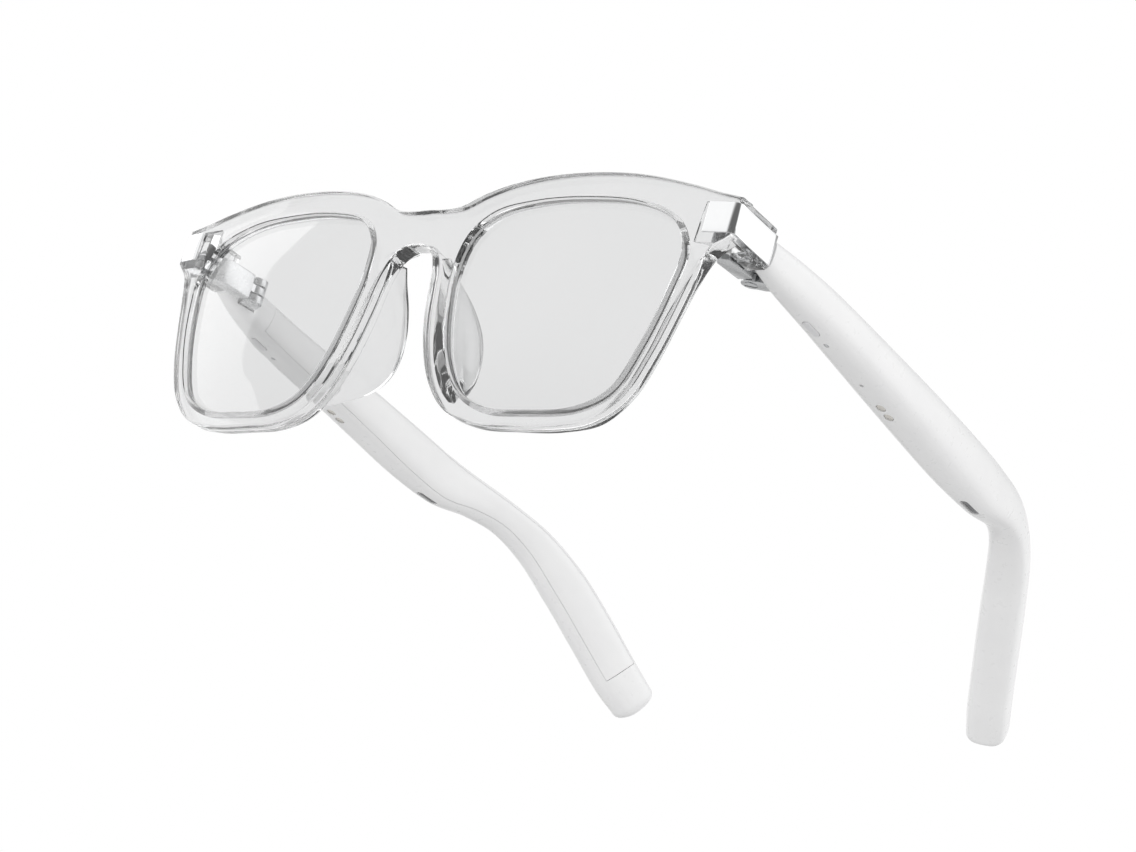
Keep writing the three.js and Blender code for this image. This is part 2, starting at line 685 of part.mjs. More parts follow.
/** The inner cover's band, grown by a clearance. */
const coverBand = (grow, proud) => templeBand(
  [COVER_SPAN[0] - grow, COVER_SPAN[1] + grow],
  24,
  ({ halfWidth, halfHeight }) => [
    -halfWidth - proud, -halfWidth + COVER_THICK + grow,
    -halfHeight + COVER_MARGIN - grow, halfHeight - COVER_MARGIN + grow,
  ],
);

/** A geometry made about the origin (x outward, y along, z up), put into the temple. */
function putInTemple(geometry, y, u, v) {
  const place = templeAt(parameterAt(y));
  const turn = new THREE.Matrix4().makeBasis(place.outward, place.along, place.up);
  turn.setPosition(inTemple(place, u, v));
  return geometry.applyMatrix4(turn);
}

/** A geometry put on the underside of the temple, lift above the lowest line. */
function onUnderside(geometry, y, lift, u = 0) {
  return putInTemple(geometry, y, u, -templeAt(parameterAt(y)).halfHeight + lift);
}

const UNDERSIDE_OPENINGS = [
  { y: BUTTON_Y, shape: slot(4.9, 2.2) },
  { y: LIGHT_Y, shape: slot(1.6, 1.5) },
  { y: MICROPHONE_Y, shape: slot(0.9, 0.85) },
  { y: CONTACT_Y[0], shape: slot(2.6, 2.2) },
  { y: CONTACT_Y[1], shape: slot(2.6, 2.2) },
  { y: SPEAKER_Y, shape: slot(6.2, 2.0) },
];

/** The shell: the temple's form, hollowed, with a rebate for the cover and its openings. */
function templeShell() {
  const leafSpace = prism([
    [60, 19.2], [66.5, 19.6], [69.95, TEMPLE_LEAF_Y[0] - 1.9], [69.95, TEMPLE_LEAF_Y[0] - 1],
    [70.65, TEMPLE_LEAF_Y[1] + 0.4], [68.75, TEMPLE_LEAF_Y[1] + 0.4],
    [68.3, TEMPLE_LEAF_Y[0] + 1.9], [60, TEMPLE_LEAF_Y[0] + 1.9],
  ], knuckleBottom - GAP, knuckleTop + GAP);
  const noseRoom = prism([[60, 15], [66.95, 15], [66.95, 21], [60, 21]], 5, 20);
  const front = SEAM_Y + GAP;
  const beforeSeam = drooped(prism([[60, 10], [80, 10], [80, front], [60, front]], 5, 22));
  const openings = UNDERSIDE_OPENINGS.map(({ y, shape }) => (
    onUnderside(prism(shape, -1.5, 2.4), y, 0)
  ));
  const spaces = [cavity(), coverBand(GAP, 1), leafSpace, noseRoom, beforeSeam, ...openings];
  return cut(templeBody(), ...spaces);
}

/** The inner cover, flush with the shell. */
function innerCover() {
  return common(templeBody(), coverBand(0, 1));
}

// ---------------------------------------------------------------- pieces in the temple

const underPlug = (length, width, low, high, y) => (
  onUnderside(prism(slot(length, width), low, high), y, 0)
);

/** The flexible circuit that runs over the battery from the board to the speaker. */
const flexCable = () => templeBand([61.5, 86], 8, ({ halfHeight }) => [
  -0.8, 1.2, halfHeight - WALL - 0.75, halfHeight - WALL - 0.5,
]);

const TEMPLE_PARTS = {
  button: [() => underPlug(4.3, 1.6, -0.25, 1.5, BUTTON_Y), GREY],
  button_switch: [() => onUnderside(bar(2.6, 3.6, 0.9, 0.2), BUTTON_Y, 2.5), BLACK],
  status_light: [() => underPlug(1.0, 0.9, 0.02, 2.2, LIGHT_Y), TINTED],
  microphone: [() => onUnderside(bar(2.4, 3.2, 0.9, 0.15), MICROPHONE_Y, 2.3), STEEL],
  charge_contact_front: [() => underPlug(2.0, 1.6, 0.05, 1.7, CONTACT_Y[0]), GOLD],
  charge_contact_rear: [() => underPlug(2.0, 1.6, 0.05, 1.7, CONTACT_Y[1]), GOLD],
  charge_magnet: [() => onUnderside(bar(3.0, 5.0, 0.9, 0.2), 59.3, 2.4), STEEL],
  circuit_board: [() => putInTemple(bar(0.8, 21, 2.9, 0.1), 49.5, 1.1, 0.6), BOARD],
  processor: [() => putInTemple(bar(0.9, 6.0, 2.5, 0.1), 45.5, 0, 0.7), BLACK],
  battery: [() => putInTemple(bar(3.4, 17, 3.8, 0.8), 73.0, 0.35, -0.3), FOIL],
  speaker: [() => putInTemple(bar(2.6, 9.0, 3.4, 0.6), SPEAKER_Y, 0.2, 0.9), BLACK],
  speaker_grille: [() => underPlug(5.6, 1.4, 0.35, 0.85, SPEAKER_Y), STEEL],
  antenna: [() => putInTemple(bar(0.3, 16, 2.4, 0.05), 50.0, 1.95, 0.5), COPPER],
  flex_cable: [() => flexCable(), COPPER],
};

// ---------------------------------------------------------------- assembly

const glasses = new THREE.Group();

function add(name, geometry, material) {
  const mesh = new THREE.Mesh(geometry, material);
  mesh.name = name;
  glasses.add(mesh);
}

/** Adds a left piece and its mirror image on the right. */
function addPair(name, geometry, material) {
  add(`left_${name}`, geometry, material);
  add(`right_${name}`, mirrored(geometry), material);
}

add('front_frame', frontFrame(), CLEAR);
addPair('lens', lens(), TINTED);
addPair('nose_pad', nosePad(), CLEAR);
addPair('end_plate', endPlate(), CHROME);
addPair('front_hinge_leaf', frontLeaf(), STEEL);
addPair('upper_leaf_rivet', leafRivet(1), STEEL);
addPair('lower_leaf_rivet', leafRivet(0), STEEL);
addPair('hinge_screw', hingeScrew(), STEEL);
addPair('temple_shell', templeShell(), WHITE);
addPair('temple_cover', innerCover(), WHITE);
addPair('temple_hinge_leaf', templeLeaf(), STEEL);
for (const [name, [make, material]] of Object.entries(TEMPLE_PARTS)) {
  addPair(name, make(), material);
}

const lean = new THREE.Group();
lean.rotation.x = THREE.MathUtils.degToRad(LEAN_DEG);
lean.add(glasses);

/** Stands the model on z = 0 with the middle of its box over the origin. */
function standing(model) {
  model.updateMatrixWorld(true);
  const box = new THREE.Box3().setFromObject(model, true);
  const centre = box.getCenter(new THREE.Vector3());
  model.position.set(-centre.x, -centre.y, -box.min.z);
  return model;
}

export default standing(lean);
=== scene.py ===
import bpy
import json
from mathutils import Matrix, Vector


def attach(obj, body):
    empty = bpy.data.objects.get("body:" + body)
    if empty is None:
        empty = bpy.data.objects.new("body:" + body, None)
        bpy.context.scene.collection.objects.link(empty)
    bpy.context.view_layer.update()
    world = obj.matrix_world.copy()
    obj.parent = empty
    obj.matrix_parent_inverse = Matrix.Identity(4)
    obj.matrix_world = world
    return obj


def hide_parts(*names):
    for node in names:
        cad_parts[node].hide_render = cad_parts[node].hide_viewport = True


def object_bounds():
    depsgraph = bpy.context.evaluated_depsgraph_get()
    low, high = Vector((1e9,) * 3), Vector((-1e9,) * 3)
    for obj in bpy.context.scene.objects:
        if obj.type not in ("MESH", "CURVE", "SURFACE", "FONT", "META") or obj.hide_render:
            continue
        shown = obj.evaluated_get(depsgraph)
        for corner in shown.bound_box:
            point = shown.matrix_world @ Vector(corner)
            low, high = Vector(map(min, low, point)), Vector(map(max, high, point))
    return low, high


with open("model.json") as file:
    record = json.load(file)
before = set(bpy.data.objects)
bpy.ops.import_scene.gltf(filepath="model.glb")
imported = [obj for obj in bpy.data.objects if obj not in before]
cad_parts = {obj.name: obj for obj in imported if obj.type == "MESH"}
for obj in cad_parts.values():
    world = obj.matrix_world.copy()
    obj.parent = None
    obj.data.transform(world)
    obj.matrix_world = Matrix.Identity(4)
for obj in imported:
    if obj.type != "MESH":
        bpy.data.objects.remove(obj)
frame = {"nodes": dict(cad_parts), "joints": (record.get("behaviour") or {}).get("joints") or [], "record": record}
cad_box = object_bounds()

# Smart glasses: a clear front with tinted lenses, bright corner plates and white folding temples.
#
# Shapes are drawn in millimetres in the front's own frame (x to the wearer's left, y back along
# the temples, z up in the plane of the front), and then put into the row frame by ROW, which is
# read from the left hinge. Left pieces are made once, and right pieces are their mirror images.

import json
import math

import bpy
import numpy as np
from mathutils import Matrix, Vector

# ---------------------------------------------------------------- the front's frame

JOINTS = {joint["name"]: joint for joint in frame["joints"]}
HINGE = (64.2, 21.5, 13.6)          # a point of the left hinge axis in the front's frame


def front_to_row():
    """The matrix from the front's frame, in millimetres, to the row frame, in metres."""
    hinge = JOINTS["left_temple_fold"]
    lean = Matrix.Rotation(math.atan2(-hinge["axis"][1], hinge["axis"][2]), 4, "X")
    scaled = lean @ Matrix.Scale(0.001, 4)
    return Matrix.Translation(Vector(hinge["pos_m"]) - scaled @ Vector(HINGE)) @ scaled


ROW = front_to_row()

# ---------------------------------------------------------------- dimensions (mm)

FACE_WRAP = 4.4 / 70 ** 2            # the face curves back by 4.4 at 70 from the middle
FACE_BOW = 1.04 / 20 ** 2
FRONT_DEPTH = 4.0
FRONT_BEVEL = 0.45
BACK_BEVEL = 0.9
OPENING_BEVEL = 0.4
GROOVE_AT = 2.0
GROOVE_DEPTH = 0.9
GROOVE_HALF_WIDTH = 1.1
GROOVE_FLOOR_HALF = 0.25
LENS_MIDDLE = (36, -1)
LENS_EDGE_HALF = 0.8
LENS_DOME = 1.6
LENS_GAP = 0.12
CORNER_REACH = 3.0                  # length over which bevels ease into the outline's corners

OPENING = [
    (11.7, 5.2), (12.9, 12.2), (17.4, 16.7), (25.8, 18.7), (36.9, 19.2), (50.0, 18.0),
    (58.6, 14.1), (61.9, 8.4), (61.2, 0.4), (58.4, -10.1), (54.4, -18.0), (47.8, -21.5),
    (37.2, -22.4), (27.3, -22.0), (20.6, -19.0), (15.9, -12.6), (12.9, -3.3),
]
RIM_OUTLINE = [
    (0, 10.1), (2.7, 9.8), (4.8, 8.2), (6.2, 5.2), (6.9, 1.6), (7.8, -4.1), (9.6, -10.5),
    (12.9, -17.4), (18.0, -22.7), (25.3, -25.1), (34.2, -25.5), (43.9, -25.3), (52.3, -23.5),
    (57.8, -18.5), (61.0, -11.8), (63.4, -3.8), (65.3, 2.9), (67.3, 7.9), (70.9, 11.4),
]
BROW_OUTLINE = [
    (70.9, 19.1), (65.7, 20.2), (60.0, 21.7), (48.3, 24.0), (37.1, 24.7), (26.3, 24.1),
    (18.4, 22.6), (12.7, 20.6), (8.2, 18.4), (4.0, 17.9), (0, 18.0),
]

SIDE_X = 70.9
LUG_INNER_X = 66.6
LUG_Z = (11.0, 19.2)
SEAM_Y = 17.0
SIDE_DROOP = math.radians(3.8)
DROOP_FROM = (5.0, 9.0)
DROOP_PIVOT_Z = 15.3
PLATE_THICK = 0.56                  # only the part that stands out of the clear front
PLATE_PROUD = 0.5
PLATE_Z = (11.8, 17.8)
PLATE_FROM_X = 65.2
PLATE_FOLD_RADIUS = 1.8
HINGE_Z = (9.9, 15.1)
KNUCKLE_RADIUS = 1.9
KNUCKLE_HEIGHT = 1.5
FRONT_LEAF_X = (62.9, LUG_INNER_X - 0.3)
FRONT_LEAF_Y = (10.6, 19.2)
TEMPLE_LEAF_Y = (23.7, 29.2)
TEMPLE_LEAF_Z = (11.0, 14.0)
RIVET_Y = 13.4
RIVET_Z = {"lower": 11.3, "upper": 14.2}

# temple stations: x, y, z of the centre line, width, height
TEMPLE = [
    (69.05, 16.4, 13.75, 4.4, 5.8), (70.3, 24, 11.95, 5.9, 7.6), (71.3, 32, 10.4, 7.2, 8.3),
    (71.65, 42, 8.75, 8.2, 8.8), (71.6, 54, 7.0, 8.9, 9.5), (71.55, 68, 4.95, 9.1, 10.5),
    (71.5, 82, 2.85, 8.6, 11.3), (71.2, 94, 1.5, 7.4, 11.0), (69.75, 104, 1.3, 6.8, 8.6),
    (66.9, 112, -0.1, 7.3, 7.6), (63.0, 120, -3.7, 8.3, 8.8), (58.55, 128, -10.0, 8.8, 10.4),
    (54.15, 136, -17.7, 8.8, 10.7), (49.85, 144, -25.7, 8.7, 10.5), (47.9, 147.9, -28.9, 8.4, 9.8),
]
SECTION_POWER = 3.0
TIP_ROUND = 3.2
WALL = 1.3
COVER_THICK = 1.2
COVER_MARGIN = 1.3
COVER_SPAN = (30.2, 143)
COVER_GAP = 0.07
SEAM_GAP = 0.25
CAVITY_SPAN = (30.7, 100)
BUTTON_Y = 33.0
LIGHT_Y = 38.0
MICROPHONE_Y = 50.5
CONTACT_Y = (57.8, 60.8)
SPEAKER_Y = 91.9

# ---------------------------------------------------------------- curves


def hermite(p1, p2, t1, t2, share):
    """The cubic from p1 to p2 with end tangents t1 and t2."""
    w = np.asarray(share)[:, None]
    return (p1 + t1 * w + (3 * (p2 - p1) - 2 * t1 - t2) * w ** 2
            + (2 * (p1 - p2) + t1 + t2) * w ** 3)


def catmull(points, closed=False, per_span=14):
    """A centripetal Catmull-Rom line through points, with per_span steps between two of them."""
    p = np.asarray(points, float)
    if closed:
        p = np.vstack([p[-1], p, p[0], p[1]])
    else:
        p = np.vstack([2 * p[0] - p[1], p, 2 * p[-1] - p[-2]])
    share = np.arange(per_span) / per_span
    spans = []
    for a, b, c, d in zip(p, p[1:], p[2:], p[3:]):
        t0, t1, t2 = (max(np.linalg.norm(v - u) ** 0.5, 1e-4) for u, v in ((a, b), (b, c), (c, d)))
        first = ((b - a) / t0 - (c - a) / (t0 + t1) + (c - b) / t1) * t1
        second = ((c - b) / t1 - (d - b) / (t1 + t2) + (d - c) / t2) * t1
        spans.append(hermite(b, c, first, second, share))
    line = np.vstack(spans)
    return line if closed else np.vstack([line, p[-2]])


def from_middle_plane(points, per_span=14):
    """The same, for a line that starts on x = 0 and crosses it at a right angle."""
    x, z = points[1]
    return catmull([(-x, z), *points], False, per_span)[per_span:]


def face_y(x, z):
    """Depth of the front's face."""
    return FACE_WRAP * x * x + FACE_BOW * z * z


ARCH_END = 4 * 30                   # end of the nose arch on the rim's line

opening_line = catmull(OPENING, closed=True, per_span=30)
rim_line = from_middle_plane(RIM_OUTLINE, 30)
brow_line = from_middle_plane(BROW_OUTLINE[::-1], 30)[::-1]
outer_line = np.vstack([rim_line, brow_line, rim_line[:1]])
opening_loop = np.vstack([opening_line, opening_line[:1]])

# ---------------------------------------------------------------- meshes


def new_object(name, points, faces):
    """A mesh object in front-frame millimetres, its normals turned outwards."""
    mesh = bpy.data.meshes.new(name)
    mesh.from_pydata([tuple(p) for p in points], [], faces)
    obj = bpy.data.objects.new(name, mesh)
    bpy.context.scene.collection.objects.link(obj)
    face_out(mesh)
    return obj


def volume(mesh):
    """Six times the signed volume of a closed mesh."""
    mesh.calc_loop_triangles()
    co = np.empty(len(mesh.vertices) * 3)
    mesh.vertices.foreach_get("co", co)
    index = np.empty(len(mesh.loop_triangles) * 3, int)
    mesh.loop_triangles.foreach_get("vertices", index)
    a, b, c = co.reshape(-1, 3)[index.reshape(-1, 3)].transpose(1, 0, 2)
    return float(np.einsum("ij,ij->", a, np.cross(b, c)))


def face_out(mesh):
    if volume(mesh) < 0:
        mesh.flip_normals()


def loft(name, sections):
    """A closed solid through equal rings of points, closed with fans at both ends."""
    sections = np.asarray(sections, float)
    count, ring = sections.shape[:2]
    points = sections.reshape(-1, 3)
    faces = [
        (s * ring + k, s * ring + (k + 1) % ring,
         (s + 1) * ring + (k + 1) % ring, (s + 1) * ring + k)
        for s in range(count - 1) for k in range(ring)
    ]
    for end in (0, count - 1):
        hub = len(points)
        points = np.vstack([points, sections[end].mean(0)])
        for k in range(ring):
            pair = (end * ring + k, end * ring + (k + 1) % ring)
            faces.append((hub, *(pair[::-1] if end == 0 else pair)))
    return new_object(name, points, faces)


def prism(name, outline, low, high):
    """An outline in (x, y) raised from z = low to z = high."""
    count = len(outline)
    points = [(x, y, z) for z in (low, high) for x, y in outline]
    faces = [(k, (k + 1) % count, count + (k + 1) % count, count + k) for k in range(count)]
    faces += [tuple(range(count))[::-1], tuple(range(count, 2 * count))]
    return new_object(name, points, faces)


def circle(middle, radius, sides=48):
    turn = np.linspace(0, 2 * math.pi, sides, endpoint=False)
    return [(middle[0] + radius * math.cos(a), middle[1] + radius * math.sin(a)) for a in turn]


def slot_outline(length, width, per_end=16):
    """An oval slot, longer along y."""
    radius, reach = width / 2, (length - width) / 2
    turns = [math.pi * k / per_end for k in range(per_end + 1)]
    far = [(radius * math.cos(a), reach + radius * math.sin(a)) for a in turns]
    return far + [(-x, -y) for x, y in far]


def applied(obj):
    """The object with its modifiers applied."""
    graph = bpy.context.evaluated_depsgraph_get()
    mesh = bpy.data.meshes.new_from_object(obj.evaluated_get(graph))
    old = obj.data
    obj.modifiers.clear()
    obj.data = mesh
    mesh.name = obj.name
    bpy.data.meshes.remove(old)
    return obj


def removed(obj):
    """Deletes an object and its mesh."""
    mesh = obj.data
    bpy.data.objects.remove(obj)
    bpy.data.meshes.remove(mesh)


def boolean(obj, tools, operation):
    """obj joined with, cut by or cut down to each tool in turn; the tools are used up."""
    for tool in tools:
        step = obj.modifiers.new(operation.lower(), "BOOLEAN")
        step.operation = operation
        step.solver = "MANIFOLD"
        step.object = tool
        applied(obj)
        removed(tool)
    return obj


def bevelled(obj, width, segments=3, angle=40):
    """Rounds the edges sharper than angle."""
    step = obj.modifiers.new("bevel", "BEVEL")
    step.width = width
    step.segments = segments
    step.limit_method = "ANGLE"
    step.angle_limit = math.radians(angle)
    step.use_clamp_overlap = True
    return applied(obj)


def mirrored(obj, name):
    """The mirror image of obj on the other side of x = 0."""
    twin = obj.copy()
    twin.data = obj.data.copy()
    twin.name = name
    bpy.context.scene.collection.objects.link(twin)
    twin.data.transform(Matrix.Diagonal((-1, 1, 1, 1)))
    twin.data.flip_normals()
    return twin


def smoothed(obj, sharp=32):
    """Smooth shading, broken at edges sharper than the angle."""
    obj.data.polygons.foreach_set("use_smooth", [True] * len(obj.data.polygons))
    obj.data.set_sharp_from_angle(angle=math.radians(sharp))
    return obj


# ---------------------------------------------------------------- the clear front


def crossings(line, angles):
    """Radius and direction where rays from the lens middle cross a line."""
    p = line[:-1] - LENS_MIDDLE
    d = np.diff(line, axis=0)
    rays = np.stack([np.cos(angles), np.sin(angles)], 1)
    cross = rays[:, None, 0] * d[None, :, 1] - rays[:, None, 1] * d[None, :, 0]
    cross[np.abs(cross) < 1e-9] = 1e-9
    along = (p[None, :, 0] * rays[:, None, 1] - p[None, :, 1] * rays[:, None, 0]) / cross
    radius = (p[:, 0] * d[:, 1] - p[:, 1] * d[:, 0])[None] / cross
    radius[(along < -1e-6) | (along > 1 + 1e-6)] = -1
    best = radius.argmax(1)
    return radius[np.arange(len(angles)), best], d[best]


# the spans of the outline round one lens, in order, and the steps in each
SIDE, BROW, BRIDGE, ARCH, RIM = range(5)
SPAN_STEPS = (26, 150, 22, 60, 240)


def ring_stations():
    """Angles round the lens from corner to corner of the outline, and which span each is in."""
    corners = [rim_line[-1], brow_line[0], brow_line[-1], rim_line[0], rim_line[ARCH_END]]
    turns = [math.atan2(z - LENS_MIDDLE[1], x - LENS_MIDDLE[0]) for x, z in corners]
    turns.append(turns[0] + 2 * math.pi)
    angles, spans = [], []
    for span, count in enumerate(SPAN_STEPS):
        share = np.arange(count) / count
        angles.extend(turns[span] + (turns[span + 1] - turns[span]) * share)
        spans.extend([span] * count)
    return np.array(angles), np.array(spans)


def eased(inward, along, reach, turn):
    """Leans the inward directions near a corner so that inset lines meet there without crossing."""
    share = np.clip(1 - reach / CORNER_REACH, 0, 1)
    return inward + share[:, None] * math.tan(turn / 2) * along


def outline_points(angles, spans):
    """The outline's points and the ways in which it is inset for the bevels."""
    radius, along = crossings(outer_line, angles)
    points = LENS_MIDDLE + radius[:, None] * np.stack([np.cos(angles), np.sin(angles)], 1)
    along /= np.linalg.norm(along, axis=1)[:, None]
    inward = np.stack([-along[:, 1], along[:, 0]], 1)
    side, brow, bridge, arch, rim = (spans == span for span in (SIDE, BROW, BRIDGE, ARCH, RIM))
    low, high = rim_line[-1], brow_line[0]
    low_way, high_way = (v / np.linalg.norm(v) for v in (low - rim_line[-3], brow_line[2] - high))
    low_turn, high_turn = math.acos(low_way[1]), math.acos(high_way[1])
    for here, corner, turn, sign in ((brow, high, high_turn, 1), (rim, low, low_turn, -1)):
        reach = np.linalg.norm(points[here] - corner, axis=1)
        inward[here] = eased(inward[here], sign * along[here], reach, turn)
    share = np.arange(side.sum()) / side.sum()
    points[side] = low + share[:, None] * (high - low)
    inward[side, 0] = -1
    inward[side, 1] = math.tan(low_turn / 2) * (1 - share) - math.tan(high_turn / 2) * share
    share = np.arange(bridge.sum()) / bridge.sum()
    points[bridge] = brow_line[-1] + share[:, None] * (rim_line[0] - brow_line[-1])
    inward[bridge] = np.stack([0 * share, 2 * share - 1], 1)
    where = np.arange(arch.sum()) * ARCH_END // arch.sum()
    points[arch] = rim_line[where]
    tangent = rim_line[where + 1] - rim_line[np.maximum(where - 1, 0)]
    tangent /= np.linalg.norm(tangent, axis=1)[:, None]
    inward[arch] = np.stack([-tangent[:, 1], tangent[:, 0]], 1)
    first_of_brow, first_of_arch = (int(np.argmax(here)) for here in (brow, arch))
    points[first_of_brow], inward[first_of_brow] = high, (-1, -math.tan(high_turn / 2))
    points[first_of_arch], inward[first_of_arch] = rim_line[0], (0, 1)
    return points, inward


def quarter(count):
    """Shares of a quarter round, from edge to face."""
    turn = np.linspace(0, math.pi / 2, count + 1)
    return list(zip(1 - np.sin(turn), 1 - np.cos(turn)))


def rims():
    """Both rims and the bridge, as a left half and its mirror image welded at x = 0."""
    angles, spans = ring_stations()
    points, inward = outline_points(angles, spans)
    radius, _ = crossings(opening_loop, angles)
    rays = np.stack([np.cos(angles), np.sin(angles)], 1)

    # places on the front's face, moved back by depth
    def at(flat, depth):
        return np.column_stack([flat[:, 0], face_y(flat[:, 0], flat[:, 1]) + depth, flat[:, 1]])

    def inner(out, depth):
        return at(LENS_MIDDLE + (radius + out)[:, None] * rays, depth)

    def outer(bevel, depth):
        return at(points + inward * bevel, depth)

    opening = inner(OPENING_BEVEL, 0)
    edge = outer(FRONT_BEVEL, 0)
    rows = [opening + (edge - opening) * share for share in (0, 0.25, 0.5, 0.75)]
    for row in rows:
        row[:, 1] = face_y(row[:, 0], row[:, 2])
    wall_from = len(rows)
    rows += [outer(FRONT_BEVEL * u, FRONT_BEVEL * v) for u, v in quarter(4)]
    rows += [outer(0, 0.5 * FRONT_DEPTH)]
    rows += [outer(BACK_BEVEL * u, FRONT_DEPTH - BACK_BEVEL * v) for u, v in quarter(5)[::-1]]
    wall_to = len(rows) - 1
    back_in, back_out = inner(OPENING_BEVEL, FRONT_DEPTH), rows[-1]
    for share in (0.75, 0.5, 0.25, 0):
        row = back_in + (back_out - back_in) * share
        row[:, 1] = face_y(row[:, 0], row[:, 2]) + FRONT_DEPTH
        rows.append(row)
    rows += [inner(OPENING_BEVEL * u, FRONT_DEPTH - OPENING_BEVEL * v) for u, v in quarter(3)[1:]]
    rows += [
        inner(0, GROOVE_AT + GROOVE_HALF_WIDTH),
        inner(GROOVE_DEPTH, GROOVE_AT + GROOVE_FLOOR_HALF),
        inner(GROOVE_DEPTH, GROOVE_AT - GROOVE_FLOOR_HALF),
        inner(0, GROOVE_AT - GROOVE_HALF_WIDTH),
    ]
    rows += [inner(OPENING_BEVEL * u, OPENING_BEVEL * v) for u, v in quarter(3)[:0:-1]]
    half = np.stack(rows, 1)
    count, ring = half.shape[:2]
    flat = half.reshape(-1, 3)
    faces = []
    for s in range(count):
        here, there = s * ring, (s + 1) % count * ring
        for r in range(ring):
            if spans[s] == BRIDGE and wall_from <= r < wall_to:
                continue
            following = (r + 1) % ring
            faces.append((here + r, here + following, there + following, there + r))
    other = [tuple(k + len(flat) for k in face[::-1]) for face in faces]
    both = np.vstack([flat, flat * (-1, 1, 1)])
    obj = new_object("front", both, faces + other)
    weld(obj, 1e-3)
    return obj


def weld(obj, distance):
    """Joins vertices that are closer than the distance."""
    step = obj.modifiers.new("weld", "WELD")
    step.merge_threshold = distance
    applied(obj)
    face_out(obj.data)
    return obj


def drooped(obj):
    """Bends an end piece downwards towards the back, as the temple runs."""
    start, end = DROOP_FROM
    for vertex in obj.data.vertices:
        x, y, z = vertex.co
        share = min(max((y - start) / (end - start), 0), 1)
        angle = SIDE_DROOP * share * share * (3 - 2 * share)
        dy, dz = y - start, z - DROOP_PIVOT_Z
        vertex.co = (
            x,
            start + dy * math.cos(angle) + dz * math.sin(angle),
            DROOP_PIVOT_Z - dy * math.sin(angle) + dz * math.cos(angle),
        )
    return obj


def lug():
    """The clear lug behind the front's upper corner."""
    face = face_y(SIDE_X, 15)
    side = [(SIDE_X, y) for y in np.linspace(face + 1.4, SEAM_Y - 0.4, 9)]
    inner = [(LUG_INNER_X, y) for y in np.linspace(SEAM_Y, 11.6, 6)]
    outline = [(62.0, face), (SIDE_X - 0.6, face + 0.6), *side, (SIDE_X - 0.4, SEAM_Y), *inner,
               (LUG_INNER_X - 1.2, 9.9), (62.0, 8.6)]
    return drooped(bevelled(prism("lug", outline, *LUG_Z), 0.5, 4))


def plate_plan():
    """The plan of the bright end plate, as an L round the corner."""
    outside = SIDE_X + PLATE_PROUD

    def front_y(x):
        return face_y(x, 15) - PLATE_PROUD

    slope = (front_y(outside) - front_y(PLATE_FROM_X)) / (outside - PLATE_FROM_X)
    turn = math.pi / 2 - math.atan(slope)
    corner = (outside - PLATE_FOLD_RADIUS, front_y(outside) + PLATE_FOLD_RADIUS)

    def arc(radius):
        x, y = corner
        angles = [-(turn + 0.02) * (1 - share) for share in np.linspace(0, 1, 13)]
        return [(x + radius * math.cos(a), y + radius * math.sin(a)) for a in angles]

    back = SEAM_Y - 0.1
    side = np.linspace(8.0, back, 9)
    start = (PLATE_FROM_X, front_y(PLATE_FROM_X))
    return [
        start, *arc(PLATE_FOLD_RADIUS), *[(outside, y) for y in side],
        *[(outside - PLATE_THICK, y) for y in side[::-1]],
        *arc(max(PLATE_FOLD_RADIUS - PLATE_THICK, 0.05))[::-1],
        (start[0], start[1] + PLATE_THICK),
    ]


def end_plate():
    """The bright plate folded round the corner of the front and the lug."""
    return drooped(bevelled(prism("end_plate", plate_plan(), *PLATE_Z), 0.14, 3, 50))


# nose pad: height z, back edge (x, y), root across the rim (near, far), thickness
PAD = [
    (8.0, 6.6, 5.4, 6.3, 8.6, 1.1), (5.6, 7.9, 7.6, 7.0, 9.6, 1.5), (2.0, 9.7, 11.2, 7.8, 10.5, 2.0),
    (-2.6, 11.4, 14.0, 8.6, 11.5, 2.6), (-7.2, 12.4, 14.9, 9.6, 12.6, 2.9),
    (-11.6, 13.3, 14.2, 11.0, 14.0, 2.9), (-15.4, 14.8, 11.8, 12.9, 15.8, 2.6),
    (-18.4, 16.9, 8.4, 15.0, 17.9, 2.0), (-20.4, 18.8, 5.9, 17.1, 19.7, 1.4),
]
PAD_ROOT_DEPTH = 2.6                # how far behind the face the pad grows out of the rim


def nose_pad():
    """The nose pad, growing out of the rim's nose side."""
    stations = catmull([(*p[1:3], p[0], *p[3:6]) for p in PAD], False, 8)
    sections = []
    for x, y, z, near, far, thick in stations:
        near_y = face_y(near, z) + PAD_ROOT_DEPTH
        far_y = face_y(far, z) + PAD_ROOT_DEPTH
        fin = catmull([
            (near, near_y), (near + 0.3 * (x - thick - near), near_y + 0.5 * (y - near_y)),
            (x - thick, y - 0.25 * thick), (x - 0.45 * thick, y), (x, y - 0.3 * thick),
            (far + 0.2 * (x - far), far_y + 0.45 * (y - far_y)), (far, far_y),
        ], False, 7)
        sections.append([(px, py, z) for px, py in fin])
    return loft("pad", sections)


def clear_front():
    """The rims and the bridge with both lugs and nose pads, in one clear piece."""
    parts = []
    for make in (lug, nose_pad):
        left = make()
        parts += [mirrored(left, "twin"), left]
    return smoothed(boolean(rims(), parts, "UNION"), 28)


